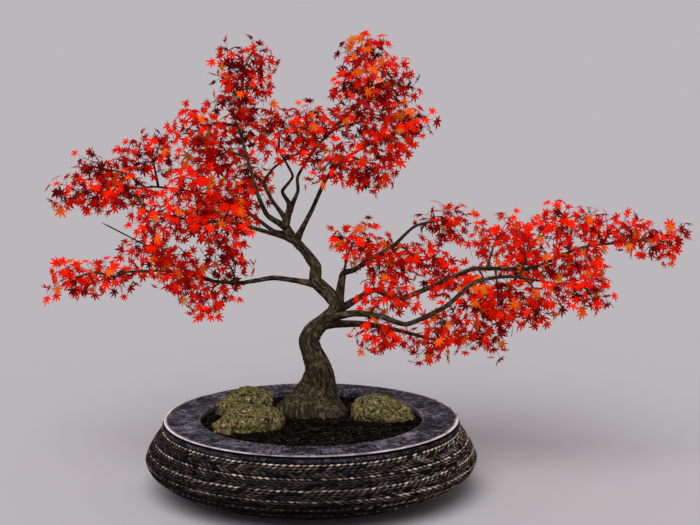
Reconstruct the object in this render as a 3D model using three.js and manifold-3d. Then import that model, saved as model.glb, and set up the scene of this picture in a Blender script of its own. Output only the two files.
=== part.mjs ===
// A Japanese maple bonsai with a curved trunk and red autumn leaves, growing in a round pot banded with
// twisted cord. Millimetres, +Z up. The origin is the centre of the pot's underside, and the front is -Y.
import * as THREE from "three";
import { mergeVertices } from "three/addons/utils/BufferGeometryUtils.js";
import Module from "manifold-3d";

const wasm = await Module();
wasm.setup();

// Driving dimensions
const POT_HEIGHT = 88;
const POT_BASE_RADIUS = 122;
const POT_WIDEST_RADIUS = 200;
const POT_WIDEST_HEIGHT = 42;
const POT_FLOOR = 14;
const POT_FOOT_HEIGHT = 9;
const RIM_OUTER_RADIUS = 176;
const RIM_INNER_RADIUS = 133;
const RIM_DEPTH = 9;
const RIM_EDGE_HEIGHT = 3;
const POT_WALL = 16;
const POT_SIDES = 36;
const BELLY_POWER_BELOW = 2.05;
const BELLY_POWER_ABOVE = 1.4;
const CAVITY_HEIGHTS = [22, 34, 58];
const CAVITY_FLOOR_RADIUS = 134;
const CAVITY_SHOULDER_DEPTH = 8;
const CORD_BAND_HEIGHTS = [25, 38, 50, 63.5, 76];
const CORD_BAND_RAISE = 2.4;
const CORD_BAND_HALF_WIDTH = 6;

const DRAIN_HOLE_RADIUS = 11;
const DRAIN_HOLE_OFFSET = 66;
const DRAIN_HOLE_SIDES = 16;
const SCREEN_SIDE = 44;
const SCREEN_THICKNESS = 1.4;
const SCREEN_HOLE = 11;
const SCREEN_HOLE_PITCH = 17.6;
const SCREEN_HOLES_PER_SIDE = 2;

const SOIL_TOP = 81;
const SOIL_CROWN = 1;
const FIT_GAP = 0.3;

const TRUNK_SIDES = 12;
const TRUNK_STEPS = 26;
const BRANCH_SIDES = 6;
const TWIG_SIDES = 4;
const BRANCH_STEPS_PER_SPAN = 1.3;
const LIMB_ROUNDING = 0.5;
const ROOT_RIDGES = 6;
const ROOT_RIDGE_DEPTH = 0.08;
const ROOT_RIDGE_TOP = 118;
const ROOT_RIDGE_TURN = 0.6;

// Stems of the sprays. A share is of the distance from the stem's root to the spray's centre.
const STEM_LEAD = 14;
const STEM_SIDES = 3;
const STEM_STEPS = 3;
const STEM_RADIUS = 1.2;
const STEM_RADIUS_PER_REACH = 0.008;
const STEM_ROOT_SWELL = 0.5;
const STEM_CENTRE_TAPER = 0.85;
const STEM_TIP_RADIUS = 0.8;
const STEM_RISE_SHARE = 0.12;
const STEM_TIP_DROP = 2;
const STEM_OVERSHOOT = 0.45;
const STEM_FOLLOWS_LIMB = 14;
const ROOT_SPACING = 7;
const ROOT_PLACES_PER_LIMB = 32;
const FIRST_ROOT = 0.2;
const LAST_ROOT = 0.98;

// Leaves. Depths are shares of the spray's half sizes, and feet are shares of the stem's length.
const LEAF_RADIUS = 19.5;
const LEAF_SIZES = [0.92, 1.08];
const LEAF_THICKNESS = 2.6;
const LEAF_DROOP = 0.2;
const LEAF_TRIES = 24;
const LEAF_DEPTHS = [0.6, 0.95];
const LEAF_JITTER = 0.25;
const LEAF_RETRY_TURN = 0.35;
const LEAF_INSET = 0.3;
const LEAF_TILT = 0.4;
const LEAF_OUTWARD = 0.75;
const LEAF_LIGHTWARD = [0, -0.25, 0.3];
const LEAF_OFF_STALK = 0.6;
const OUTERMOST_FOOT = 0.96;
const FEET_SPAN = 0.5;
const SHORTEST_STALK = 13;
const STEM_PROBES = 20;
const STALK_TAPER = 0.5;
const CLEARANCE = 0.35;
const FIRST_SEED = 11;
const FACET_TOLERANCE = 0.08;

// Each limb is a list of [x, y, z, radius] along its centre line. A branch starts inside what it grows from.
const LIMBS = {
  trunk: [
    [2, 50, 64, 38],
    [2, 51, 82, 40.5],
    [4, 55, 97, 29],
    [7, 58, 115, 21],
    [8, 55, 130, 17.7],
    [5, 54, 142, 15],
    [-1, 52, 157, 13],
    [-4, 50, 170, 12.6],
    [1, 50, 182, 11.4],
    [12, 52, 192, 9.6],
    [26, 55, 204, 9],
    [30, 56, 215, 8.8],
    [20, 58, 227, 8.3],
    [4, 60, 243, 7.4],
    [4, 62, 260, 7],
    [-10, 62, 280, 5.8],
    [-23, 60, 295, 5.6],
    [-32, 58, 311, 4.9],
    [-26, 55, 334, 4.2],
  ],
  low_left: [
    [8, 60, 238, 4.5],
    [-22, 56, 244, 3.3],
    [-48, 50, 248, 2.9],
    [-87, 42, 243, 2.4],
    [-118, 38, 246, 2.1],
    [-142, 36, 253, 1.9],
    [-177, 36, 259, 1.6],
    [-222, 32, 258, 1.3],
    [-240, 30, 249, 1],
  ],
  left_mid: [
    [-21, 61, 292, 3.6],
    [-37, 50, 299, 2.8],
    [-74, 24, 314, 2.3],
    [-102, 10, 322, 2],
    [-131, 0, 323, 1.8],
    [-165, -8, 331, 1.4],
    [-196, -12, 337, 1],
  ],
  left_upper: [
    [-27, 59, 300, 3],
    [-48, 72, 303, 2.4],
    [-79, 92, 322, 2],
    [-125, 106, 342, 1.7],
    [-150, 108, 347, 1.5],
    [-194, 100, 354, 1.3],
    [-222, 92, 352, 1],
  ],
  top_left: [
    [-31, 58, 309, 3.8],
    [-54, 50, 325, 3],
    [-66, 44, 354, 2.2],
    [-73, 44, 380, 1.8],
    [-86, 50, 425, 1.5],
    [-91, 52, 438, 1.4],
    [-82, 56, 466, 1],
  ],
  inner: [
    [-31, 57, 318, 3],
    [-51, 80, 342, 2.2],
    [-60, 96, 360, 1.8],
    [-47, 108, 378, 1.5],
    [-17, 114, 395, 1.3],
    [4, 112, 402, 1],
  ],
  centre: [
    [-27, 55, 329, 2.8],
    [-28, 52, 340, 2.6],
    [-35, 40, 355, 2.1],
    [-22, 26, 374, 1.6],
    [-31, 18, 394, 1.4],
    [-39, 14, 409, 1],
  ],
  top: [
    [-27, 55, 331, 3],
    [-17, 58, 353, 2],
    [-17, 62, 371, 1.9],
    [2, 68, 401, 1.8],
    [33, 74, 436, 1.6],
    [63, 70, 464, 1.4],
    [77, 64, 491, 1],
  ],
  right_top: [
    [-20, 61, 292, 4],
    [-1, 50, 329, 2.6],
    [17, 38, 369, 2.2],
    [37, 30, 393, 1.9],
    [73, 28, 414, 1.5],
    [100, 30, 423, 1],
  ],
  right_rise: [
    [31, 57, 214, 5.4],
    [34, 60, 230, 5],
    [37, 67, 248, 4.1],
    [40, 69, 252, 3.8],
    [51, 74, 254, 3.3],
    [68, 84, 264, 2.7],
    [101, 96, 282, 2.2],
    [127, 106, 304, 1.8],
    [166, 108, 313, 1],
  ],
  right_upper: [
    [26, 55, 203, 5.2],
    [51, 76, 215, 4.1],
    [77, 92, 226, 3.5],
    [106, 98, 213, 3.2],
    [153, 94, 232, 2.9],
    [199, 82, 254, 2.6],
    [267, 68, 257, 2.1],
    [331, 58, 285, 1.6],
    [404, 54, 293, 1],
  ],
  right_lower: [
    [17, 53, 197, 5.2],
    [51, 30, 208, 4],
    [82, 12, 208, 3.4],
    [114, 2, 200, 3],
    [160, -4, 223, 2.7],
    [194, 2, 251, 2.2],
    [237, 10, 256, 1.7],
    [301, 18, 245, 1],
  ],
  right_bottom: [
    [8, 52, 190, 5.8],
    [38, 56, 190, 4.7],
    [66, 64, 188, 3.7],
    [108, 84, 176, 2.4],
    [159, 98, 160, 1.7],
    [187, 102, 163, 1.1],
  ],
  bare_twig: [
    [-118, 38, 246, 1.8],
    [-146, 30, 259, 1.5],
    [-167, 22, 270, 1.3],
    [-184, 14, 286, 1.1],
    [-216, 6, 305, 0.9],
    [-246, 0, 322, 0.8],
  ],
};

// Each spray is [centre x, y, z, half width, half height, leaves], and grows from the nearest limb.
const SPRAYS = {
  top_left_crown: [-81, 68, 504, 36, 29, 5],
  top_left_front: [-84, 26, 470, 32, 28, 5],
  top_crown: [65, 60, 516, 31, 26, 5],
  top_front: [54, 22, 478, 30, 24, 5],
  top_back: [94, 104, 478, 25, 29, 5],
  upper_right_inner: [22, 0, 394, 33, 24, 5],
  upper_right_front: [90, 8, 418, 33, 22, 5],
  upper_right_tip: [112, 80, 437, 32, 18, 4],
  upper_right_back: [58, 128, 432, 36, 27, 5],
  upper_right_low: [72, 50, 378, 30, 22, 3],
  heart_front: [-36, 2, 428, 28, 30, 5],
  heart_right: [2, 30, 434, 28, 26, 4],
  crown_gap: [-85, 92, 424, 28, 28, 4],
  upper_left_tip: [-138, 25, 427, 27, 26, 4],
  upper_left_middle: [-122, 80, 392, 34, 27, 4],
  upper_left_front: [-130, 0, 370, 36, 24, 5],
  upper_left_back: [-84, 145, 360, 32, 26, 3],
  left_heart: [-92, 48, 338, 31, 22, 4],
  left_far_tip: [-278, 60, 348, 36, 18, 4],
  left_high_tip: [-261, 120, 373, 38, 22, 5],
  left_high: [-198, 75, 398, 36, 24, 5],
  left_high_front: [-220, 34, 352, 36, 20, 4],
  left_mid_front: [-170, -38, 329, 38, 24, 5],
  left_mid_inner: [-104, -24, 314, 36, 26, 5],
  left_mid_back: [-138, 64, 322, 38, 20, 3],
  low_left_back: [-190, 76, 276, 36, 20, 3],
  low_left_under: [-156, 6, 258, 27, 18, 4],
  low_left_hanging: [-124, 10, 228, 33, 21, 5],
  low_left_inner: [-106, 88, 258, 31, 26, 5],
  low_left_end: [-240, 60, 249, 30, 18, 4],
  low_left_tip: [-283, 15, 254, 35, 22, 5],
  right_rise_front: [51, 42, 294, 31, 25, 5],
  right_rise_tip: [168, 120, 305, 33, 24, 5],
  right_inner_back: [82, 134, 252, 33, 24, 3],
  right_inner_front: [130, 112, 261, 34, 22, 5],
  right_low_inner: [94, 46, 227, 30, 22, 4],
  right_middle_inner: [173, 112, 238, 32, 20, 4],
  right_upper_back: [233, 116, 289, 35, 23, 4],
  right_upper_front: [272, 22, 303, 35, 23, 5],
  right_upper_far: [322, 94, 311, 36, 24, 5],
  right_upper_side: [363, 26, 308, 33, 21, 5],
  right_upper_tip: [422, 62, 291, 35, 20, 5],
  right_middle: [267, 104, 251, 33, 19, 4],
  right_middle_tip: [322, 56, 264, 31, 18, 4],
  right_lower_tip: [326, 5, 242, 33, 20, 5],
  right_lower_front: [268, -26, 230, 34, 22, 5],
  right_lower_inner: [228, 58, 210, 35, 23, 5],
  right_lower_middle: [214, 44, 225, 34, 21, 4],
  right_lower_hanging: [164, 24, 197, 33, 22, 5],
  right_bottom_front: [82, 14, 185, 32, 18, 4],
  right_bottom_end: [145, 118, 153, 36, 20, 4],
  right_bottom_tip: [206, 66, 169, 36, 21, 5],
};

// Each rock is [centre x, y, radius x, radius y, height above the soil, turn in degrees, lean, shoulder, seed].
// The lean shifts its top along X. A shoulder under 1 makes a rock blocky, and one over 1 makes it pointed.
const ROCKS = {
  rock_left_front: [-76, -30, 46, 32, 27, 22, 5, 0.8, 2],
  rock_left_back: [-82, 49, 40, 27, 29, 0, 7, 0.8, 5],
  rock_right: [86, 17, 44, 28, 29, -10, -11, 1.15, 9],
};
const ROCK_SINK = 9;
const ROCK_UNEVENNESS = 0.055;
const ROCK_MEAN_SIZE = 0.95;

const MATERIALS = {
  pot: new THREE.MeshStandardMaterial({ color: 0x2a2a33, roughness: 0.55, metalness: 0 }),
  screen: new THREE.MeshStandardMaterial({ color: 0x1c1f1c, roughness: 0.6, metalness: 0 }),
  soil: new THREE.MeshStandardMaterial({ color: 0x16120f, roughness: 0.95, metalness: 0 }),
  rock: new THREE.MeshStandardMaterial({ color: 0x6d6a3c, roughness: 0.95, metalness: 0 }),
  bark: new THREE.MeshStandardMaterial({ color: 0x5a5242, roughness: 0.9, metalness: 0 }),
  leafRed: new THREE.MeshStandardMaterial({ color: 0xd92410, roughness: 0.6, metalness: 0 }),
  leafOrange: new THREE.MeshStandardMaterial({ color: 0xe8501a, roughness: 0.6, metalness: 0 }),
  leafMaroon: new THREE.MeshStandardMaterial({ color: 0x9c1410, roughness: 0.6, metalness: 0 }),
};

// Small helpers

function seededRandom(seed) {
  let state = seed >>> 0;
  return () => {
    state = (state + 0x6d2b79f5) >>> 0;
    let mixed = Math.imul(state ^ (state >>> 15), state | 1);
    mixed ^= mixed + Math.imul(mixed ^ (mixed >>> 7), mixed | 61);
    return ((mixed ^ (mixed >>> 14)) >>> 0) / 4294967296;
  };
}

function solidFrom(geometry) {
  const bare = geometry.clone();
  bare.deleteAttribute("normal");
  bare.deleteAttribute("uv");
  const merged = mergeVertices(bare, 1e-3);
  return new wasm.Manifold(
    new wasm.Mesh({
      numProp: 3,
      vertProperties: merged.attributes.position.array,
      triVerts: new Uint32Array(merged.index.array),
    }),
  );
}

function geometryFrom(solid) {
  const mesh = solid.getMesh();
  const geometry = new THREE.BufferGeometry();
  geometry.setAttribute("position", new THREE.BufferAttribute(mesh.vertProperties, mesh.numProp));
  geometry.setIndex(new THREE.BufferAttribute(mesh.triVerts, 1));
  geometry.computeVertexNormals();
  return geometry;
}

// The solids joined, with the slivers gone that joining leaves.
function unionAll(solids) {
  const joined = solids.reduce((sum, next) => sum.add(next));
  return joined.asOriginal().simplify(FACET_TOLERANCE);
}

// The largest body of a solid, without the loose scraps that a cut can leave.
function largestBody(solid) {
  const bodies = solid.decompose();
  return bodies.reduce((best, body) => (body.volume() > best.volume() ? body : best));
}

function closerThan(a, b, gap) {
  const boxA = a.boundingBox();
  const boxB = b.boundingBox();
  const apart = [0, 1, 2].some(
    (i) => boxA.min[i] > boxB.max[i] + gap || boxB.min[i] > boxA.max[i] + gap,
  );
  return !apart && a.minGap(b, gap + 1) < gap;
}

// A closed profile of [radius, height] points turned about Z.
function turned(profile, sides) {
  const points = profile.map(([radius, height]) => new THREE.Vector2(radius, height));
  return solidFrom(new THREE.LatheGeometry(points, sides).rotateX(Math.PI / 2));
}

// Pot, drainage screens and soil

function cordedWall() {
  const wall = [];
  for (const height of CORD_BAND_HEIGHTS) {
    const radius = wallRadius(height);
    const groove = height - CORD_BAND_HALF_WIDTH;
    wall.push([wallRadius(groove), groove]);
    wall.push([radius + CORD_BAND_RAISE, height]);
  }
  return wall;
}

// The bulging wall's radius without its cords: two curves that meet upright at the widest height.
function wallRadius(height) {
  const below = height < POT_WIDEST_HEIGHT;
  const narrowest = below ? POT_BASE_RADIUS : RIM_OUTER_RADIUS;
  const reach = below ? POT_WIDEST_HEIGHT : POT_HEIGHT - RIM_DEPTH - POT_WIDEST_HEIGHT;
  const power = below ? BELLY_POWER_BELOW : BELLY_POWER_ABOVE;
  const share = Math.abs(height - POT_WIDEST_HEIGHT) / reach;
  const widest = POT_WIDEST_RADIUS - CORD_BAND_RAISE;
  return widest - (widest - narrowest) * share ** power;
}

// The pot's inside from the middle of its floor up to the shoulder under the rim, drawn in by a gap.
function cavityWall(gap) {
  return [
    [0, POT_FLOOR + gap],
    [CAVITY_FLOOR_RADIUS - gap, POT_FLOOR + gap],
    ...CAVITY_HEIGHTS.map((height) => [wallRadius(height) - POT_WALL - gap, height]),
    [RIM_INNER_RADIUS + 1 - gap, SOIL_TOP - CAVITY_SHOULDER_DEPTH - gap],
  ];
}

function drainHolePlaces() {
  return [-DRAIN_HOLE_OFFSET, DRAIN_HOLE_OFFSET];
}

function makePot() {
  const profile = [
    [0, 0],
    [POT_BASE_RADIUS, 0],
    [wallRadius(POT_FOOT_HEIGHT), POT_FOOT_HEIGHT],
    ...cordedWall(),
    [RIM_OUTER_RADIUS + 2, POT_HEIGHT - RIM_DEPTH],
    [RIM_OUTER_RADIUS + 1, POT_HEIGHT - RIM_EDGE_HEIGHT],
    [RIM_OUTER_RADIUS - 1, POT_HEIGHT],
    [RIM_INNER_RADIUS, POT_HEIGHT],
    ...cavityWall(0).reverse(),
  ];
  let pot = turned(profile, POT_SIDES);
  for (const x of drainHolePlaces()) {
    const bore = new THREE.CylinderGeometry(
      DRAIN_HOLE_RADIUS,
      DRAIN_HOLE_RADIUS,
      POT_FLOOR * 3,
      DRAIN_HOLE_SIDES,
    );
    pot = pot.subtract(solidFrom(bore.rotateX(Math.PI / 2).translate(x, 0, 0)));
  }
  return pot;
}

function box(width, depth, height, x, y, z) {
  return solidFrom(new THREE.BoxGeometry(width, depth, height).translate(x, y, z));
}

function makeScreen(x) {
  const z = POT_FLOOR + FIT_GAP + SCREEN_THICKNESS / 2;
  let screen = box(SCREEN_SIDE, SCREEN_SIDE, SCREEN_THICKNESS, x, 0, z);
  for (let column = 0; column < SCREEN_HOLES_PER_SIDE; column++) {
    for (let row = 0; row < SCREEN_HOLES_PER_SIDE; row++) {
      const dx = (column - (SCREEN_HOLES_PER_SIDE - 1) / 2) * SCREEN_HOLE_PITCH;
      const dy = (row - (SCREEN_HOLES_PER_SIDE - 1) / 2) * SCREEN_HOLE_PITCH;
      screen = screen.subtract(box(SCREEN_HOLE, SCREEN_HOLE, SCREEN_THICKNESS * 3, x + dx, dy, z));
    }
  }
  return screen;
}

function makeSoil(pocketFillers) {
  const profile = [
    ...cavityWall(FIT_GAP),
    [RIM_INNER_RADIUS - FIT_GAP, SOIL_TOP - CAVITY_SHOULDER_DEPTH],
    [RIM_INNER_RADIUS - FIT_GAP, SOIL_TOP],
    [0, SOIL_TOP + SOIL_CROWN],
  ];
  let soil = turned(profile, POT_SIDES);
  for (const x of drainHolePlaces()) {
    const side = SCREEN_SIDE + 2 * FIT_GAP;
    const height = SCREEN_THICKNESS + 3 * FIT_GAP;
    soil = soil.subtract(box(side, side, height, x, 0, POT_FLOOR + height / 2));
  }
  for (const filler of pocketFillers) {
    soil = soil.subtract(filler);
  }
  return largestBody(soil);
}

// Rocks: a ball squashed to size, made uneven by a few waves, sunk a little into the soil. The shoulder
// power below one makes the upper half fuller than a ball's.
function makeRock([x, y, radiusX, radiusY, height, degrees, lean, shoulder, seed], grow) {
  const geometry = new THREE.IcosahedronGeometry(1, 2);
  const place = geometry.attributes.position;
  const point = new THREE.Vector3();
  const turn = THREE.MathUtils.degToRad(degrees);
  for (let i = 0; i < place.count; i++) {
    point.fromBufferAttribute(place, i);
    const waves =
      Math.sin(3.1 * point.x + seed) * Math.cos(2.7 * point.y - seed) +
      0.6 * Math.sin(5.3 * point.y + 2 * seed + 2.2 * point.z) +
      0.5 * Math.cos(6.1 * point.x - 3 * seed + 3 * point.z);
    const scale = ROCK_MEAN_SIZE + ROCK_UNEVENNESS * waves;
    const above = point.z > 0;
    const rise = above ? height : ROCK_SINK;
    const level = above ? point.z ** shoulder : point.z;
    const across = point.x * (radiusX * scale + grow);
    const along = point.y * (radiusY * scale + grow);
    const shift = above ? lean * point.z : 0;
    place.setXYZ(
      i,
      x + across * Math.cos(turn) - along * Math.sin(turn) + shift,
      y + across * Math.sin(turn) + along * Math.cos(turn),
      SOIL_TOP + level * (rise * scale + grow),
    );
  }
  return solidFrom(geometry);
}

// Wood

function curveThrough(stations) {
  const points = stations.map(([x, y, z]) => new THREE.Vector3(x, y, z));
  return new THREE.CatmullRomCurve3(points, false, "catmullrom", LIMB_ROUNDING);
}

// A tapered round limb along [x, y, z, radius] stations, bent from a plain cylinder.
function makeLimb(stations, sides, steps, grow, ridge = () => 1) {
  const curve = curveThrough(stations);
  const frames = curve.computeFrenetFrames(steps, false);
  const geometry = new THREE.CylinderGeometry(1, 1, steps, sides, steps);
  const place = geometry.attributes.position;
  const point = new THREE.Vector3();
  for (let i = 0; i < place.count; i++) {
    const step = Math.round(place.getY(i) + steps / 2);
    const across = place.getX(i);
    const along = place.getZ(i);
    const share = curve.getUtoTmapping(step / steps) * (stations.length - 1);
    const from = Math.min(Math.floor(share), stations.length - 2);
    const blend = share - from;
    const radius = stations[from][3] * (1 - blend) + stations[from + 1][3] * blend;
    point.copy(curve.getPointAt(step / steps));
    const reach = radius * ridge(Math.atan2(along, across), point.z) + grow;
    point.addScaledVector(frames.binormals[step], across * reach);
    point.addScaledVector(frames.normals[step], along * reach);
    place.setXYZ(i, point.x, point.y, point.z);
  }
  return solidFrom(geometry);
}

function rootRidge(angle, height) {
  const fade = THREE.MathUtils.clamp((ROOT_RIDGE_TOP - height) / (ROOT_RIDGE_TOP - SOIL_TOP), 0, 1);
  return 1 + ROOT_RIDGE_DEPTH * fade * Math.cos(ROOT_RIDGES * angle + ROOT_RIDGE_TURN);
}

function branchSteps(stations) {
  return Math.round((stations.length - 1) * BRANCH_STEPS_PER_SPAN);
}

function makeWood(grow) {
  const limbs = Object.entries(LIMBS).map(([name, stations]) => {
    if (name === "trunk") return makeLimb(stations, TRUNK_SIDES, TRUNK_STEPS, grow, rootRidge);
    const sides = name === "bare_twig" ? TWIG_SIDES : BRANCH_SIDES;
    return makeLimb(stations, sides, branchSteps(stations), grow);
  });
  return unionAll(limbs);
}

// Sprays of leaves

// One leaf: seven pointed lobes round a hub, each [degrees from the middle lobe, share of the leaf's radius],
// with the notches between them. The first and last points flank the stalk.
const HALF_LEAF = [
  [0, 1],
  [19, 0.44],
  [38, 0.93],
  [58, 0.4],
  [79, 0.76],
  [101, 0.3],
  [124, 0.48],
  [155, 0.1],
];

function leafOutline() {
  const left = HALF_LEAF.slice(1).map(([degrees, share]) => [-degrees, share]);
  return [...left.reverse(), ...HALF_LEAF];
}

// A leaf on its stalk. The stalk runs from inside the stem at foot to the hub.
function makeLeaf(foot, hub, normal, radius) {
  const stalk = new THREE.Vector3().subVectors(hub, foot).normalize();
  const middle = stalk.clone().addScaledVector(normal, -stalk.dot(normal)).normalize();
  const side = new THREE.Vector3().crossVectors(normal, middle);
  const points = leafOutline().map(([degrees, share]) => {
    const angle = THREE.MathUtils.degToRad(degrees);
    return hub
      .clone()
      .addScaledVector(middle, radius * share * Math.cos(angle))
      .addScaledVector(side, radius * share * Math.sin(angle))
      .addScaledVector(normal, -radius * LEAF_DROOP * share * share);
  });
  const last = points.length - 1;
  const crown = points.push(hub.clone().addScaledVector(normal, LEAF_THICKNESS / 2)) - 1;
  const belly = points.push(hub.clone().addScaledVector(normal, -LEAF_THICKNESS / 2)) - 1;
  const ring = [belly, 0, last];
  const centre = new THREE.Vector3();
  ring.forEach((i) => centre.addScaledVector(points[i], 1 / ring.length));
  const far = ring.map((i) => {
    const corner = points[i].clone().sub(centre).multiplyScalar(STALK_TAPER);
    return points.push(corner.add(foot)) - 1;
  });
  const faces = [[crown, last, 0]];
  for (let i = 0; i < last; i++) {
    faces.push([crown, i, i + 1]);
    faces.push([belly, i + 1, i]);
  }
  for (let i = 0; i < 3; i++) {
    const next = (i + 1) % 3;
    faces.push([ring[i], ring[next], far[next]]);
    faces.push([ring[i], far[next], far[i]]);
  }
  faces.push(far);
  const geometry = new THREE.BufferGeometry().setFromPoints(points);
  geometry.setIndex(faces.flat());
  return solidFrom(geometry);
}

// A point on the straight-sided axis that makeLimb gives a curve.
function axisPoint(curve, steps, share) {
  const step = Math.min(Math.floor(share * steps), steps - 1);
  const start = curve.getPointAt(step / steps);
  return start.lerp(curve.getPointAt((step + 1) / steps), share * steps - step);
}

// Points along the branches' axes, each with the direction in which its branch grows, for sprays to root at.
function rootPlaces() {
  const leafless = ["trunk", "bare_twig"];
  return Object.entries(LIMBS)
    .filter(([name]) => !leafless.includes(name))
    .flatMap(([, stations]) => {
      const curve = curveThrough(stations);
      const pitch = (LAST_ROOT - FIRST_ROOT) / (ROOT_PLACES_PER_LIMB - 1);
      const shares = Array.from({ length: ROOT_PLACES_PER_LIMB }, (unused, i) => FIRST_ROOT + pitch * i);
      return shares.map((share) => ({
        point: axisPoint(curve, branchSteps(stations), share),
        ahead: curve.getTangentAt(share),
      }));
    });
}

// The stem of a spray: from a limb a little before the spray, bending up through its centre to its far side.
function spraySkeleton([x, y, z, halfWidth], places, roots) {
  const centre = new THREE.Vector3(x, y, z);
  const free = places.filter(({ point }) => roots.every((taken) => taken.distanceTo(point) > ROOT_SPACING));
  const distance = ({ point, ahead }) => point.clone().addScaledVector(ahead, STEM_LEAD).distanceTo(centre);
  const root = free.reduce((best, place) => (distance(place) < distance(best) ? place : best));
  roots.push(root.point);
  const reach = new THREE.Vector3().subVectors(centre, root.point);
  const onward = reach.clone().addScaledVector(root.ahead, STEM_FOLLOWS_LIMB).setZ(0).normalize();
  const tip = centre.clone().addScaledVector(onward, halfWidth * STEM_OVERSHOOT);
  tip.z -= STEM_TIP_DROP;
  const bend = root.point.clone().lerp(centre, 0.5);
  bend.z += STEM_RISE_SHARE * reach.length();
  const thick = STEM_RADIUS + STEM_RADIUS_PER_REACH * reach.length();
  return [
    [...root.point.toArray(), thick + STEM_ROOT_SWELL],
    [...bend.toArray(), thick],
    [...centre.toArray(), thick * STEM_CENTRE_TAPER],
    [...tip.toArray(), STEM_TIP_RADIUS],
  ];
}

function makeSprays(wood) {
  const places = rootPlaces();
  const names = Object.keys(SPRAYS);
  const roots = [];
  const skeletons = names.map((name) => spraySkeleton(SPRAYS[name], places, roots));
  const fitted = makeWood(FIT_GAP);
  const sprays = skeletons.map((stations) =>
    largestBody(makeLimb(stations, STEM_SIDES, STEM_STEPS, 0).subtract(fitted)),
  );
  names.forEach((name, index) => {
    const others = [wood, ...sprays.filter((spray, i) => i !== index)];
    const seed = FIRST_SEED + index;
    sprays[index] = leafySpray(SPRAYS[name], skeletons[index], sprays[index], others, seed);
  });
  return new Map(names.map((name, index) => [name, sprays[index]]));
}

// The stem with its leaves spread over the spray's ellipsoid. A place that is too near another solid is
// tried again a little further round, and given up after a number of tries.
function leafySpray([x, y, z, halfWidth, halfHeight, leafCount], stations, stem, others, seed) {
  const random = seededRandom(seed);
  const signed = () => random() * 2 - 1;
  const between = ([least, most]) => least + (most - least) * random();
  const curve = curveThrough(stations);
  const along = curve.getSpacedPoints(STEM_PROBES);
  const footPitch = FEET_SPAN / (2 * leafCount);
  const feet = Array.from({ length: 2 * leafCount }, (unused, i) =>
    axisPoint(curve, STEM_STEPS, OUTERMOST_FOOT - footPitch * i),
  );
  const leaves = [];
  const golden = Math.PI * (3 - Math.sqrt(5));
  const turn = random() * Math.PI * 2;
  for (let i = 0; i < leafCount; i++) {
    for (let attempt = 0; attempt < LEAF_TRIES; attempt++) {
      const even = 1 - (2 * (i + 0.5)) / leafCount;
      const up = THREE.MathUtils.clamp(even + LEAF_JITTER * signed(), -1, 1);
      const around = turn + golden * i + LEAF_RETRY_TURN * attempt * signed();
      const flat = Math.sqrt(1 - up * up);
      const radial = new THREE.Vector3(flat * Math.cos(around), flat * Math.sin(around), up);
      const depth = between(LEAF_DEPTHS);
      const hub = new THREE.Vector3(
        x + radial.x * halfWidth * depth,
        y + radial.y * halfWidth * depth,
        z + radial.z * (halfHeight - LEAF_RADIUS * LEAF_INSET) * depth,
      );
      const nearest = feet.reduce((a, b) => (b.distanceTo(hub) < a.distanceTo(hub) ? b : a));
      if (along.some((point) => point.distanceTo(hub) < SHORTEST_STALK)) continue;
      const normal = new THREE.Vector3(signed(), signed(), signed())
        .multiplyScalar(LEAF_TILT)
        .addScaledVector(radial, LEAF_OUTWARD)
        .add(new THREE.Vector3(...LEAF_LIGHTWARD))
        .normalize();
      const stalk = new THREE.Vector3().subVectors(hub, nearest).normalize();
      normal.addScaledVector(stalk, -LEAF_OFF_STALK * normal.dot(stalk)).normalize();
      if (normal.dot(stalk) < 0) normal.negate();
      const leaf = makeLeaf(nearest, hub, normal, LEAF_RADIUS * between(LEAF_SIZES));
      if ([...others, ...leaves].some((other) => closerThan(leaf, other, CLEARANCE))) continue;
      leaves.push(leaf);
      feet.splice(feet.indexOf(nearest), 1);
      break;
    }
  }
  return largestBody(unionAll([stem, ...leaves]));
}

// The object

function namedMesh(name, solid, material) {
  const mesh = new THREE.Mesh(geometryFrom(solid), material);
  mesh.name = name;
  return mesh;
}

const bonsai = new THREE.Group();
bonsai.name = "japanese_maple_bonsai";
bonsai.add(namedMesh("pot", makePot(), MATERIALS.pot));
drainHolePlaces().forEach((x, index) => {
  const name = index === 0 ? "drain_screen_left" : "drain_screen_right";
  bonsai.add(namedMesh(name, makeScreen(x), MATERIALS.screen));
});

const wood = makeWood(0);
const pockets = [makeWood(FIT_GAP)];
for (const [name, size] of Object.entries(ROCKS)) {
  bonsai.add(namedMesh(name, makeRock(size, 0), MATERIALS.rock));
  pockets.push(makeRock(size, FIT_GAP));
}
bonsai.add(namedMesh("soil", makeSoil(pockets), MATERIALS.soil));
bonsai.add(namedMesh("trunk_and_branches", wood, MATERIALS.bark));

const leafMaterials = [MATERIALS.leafRed, MATERIALS.leafOrange, MATERIALS.leafMaroon];
[...makeSprays(wood)].forEach(([name, solid], index) => {
  bonsai.add(namedMesh("spray_" + name, solid, leafMaterials[index % leafMaterials.length]));
});

export default bonsai;
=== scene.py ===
import itertools
import math

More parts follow.
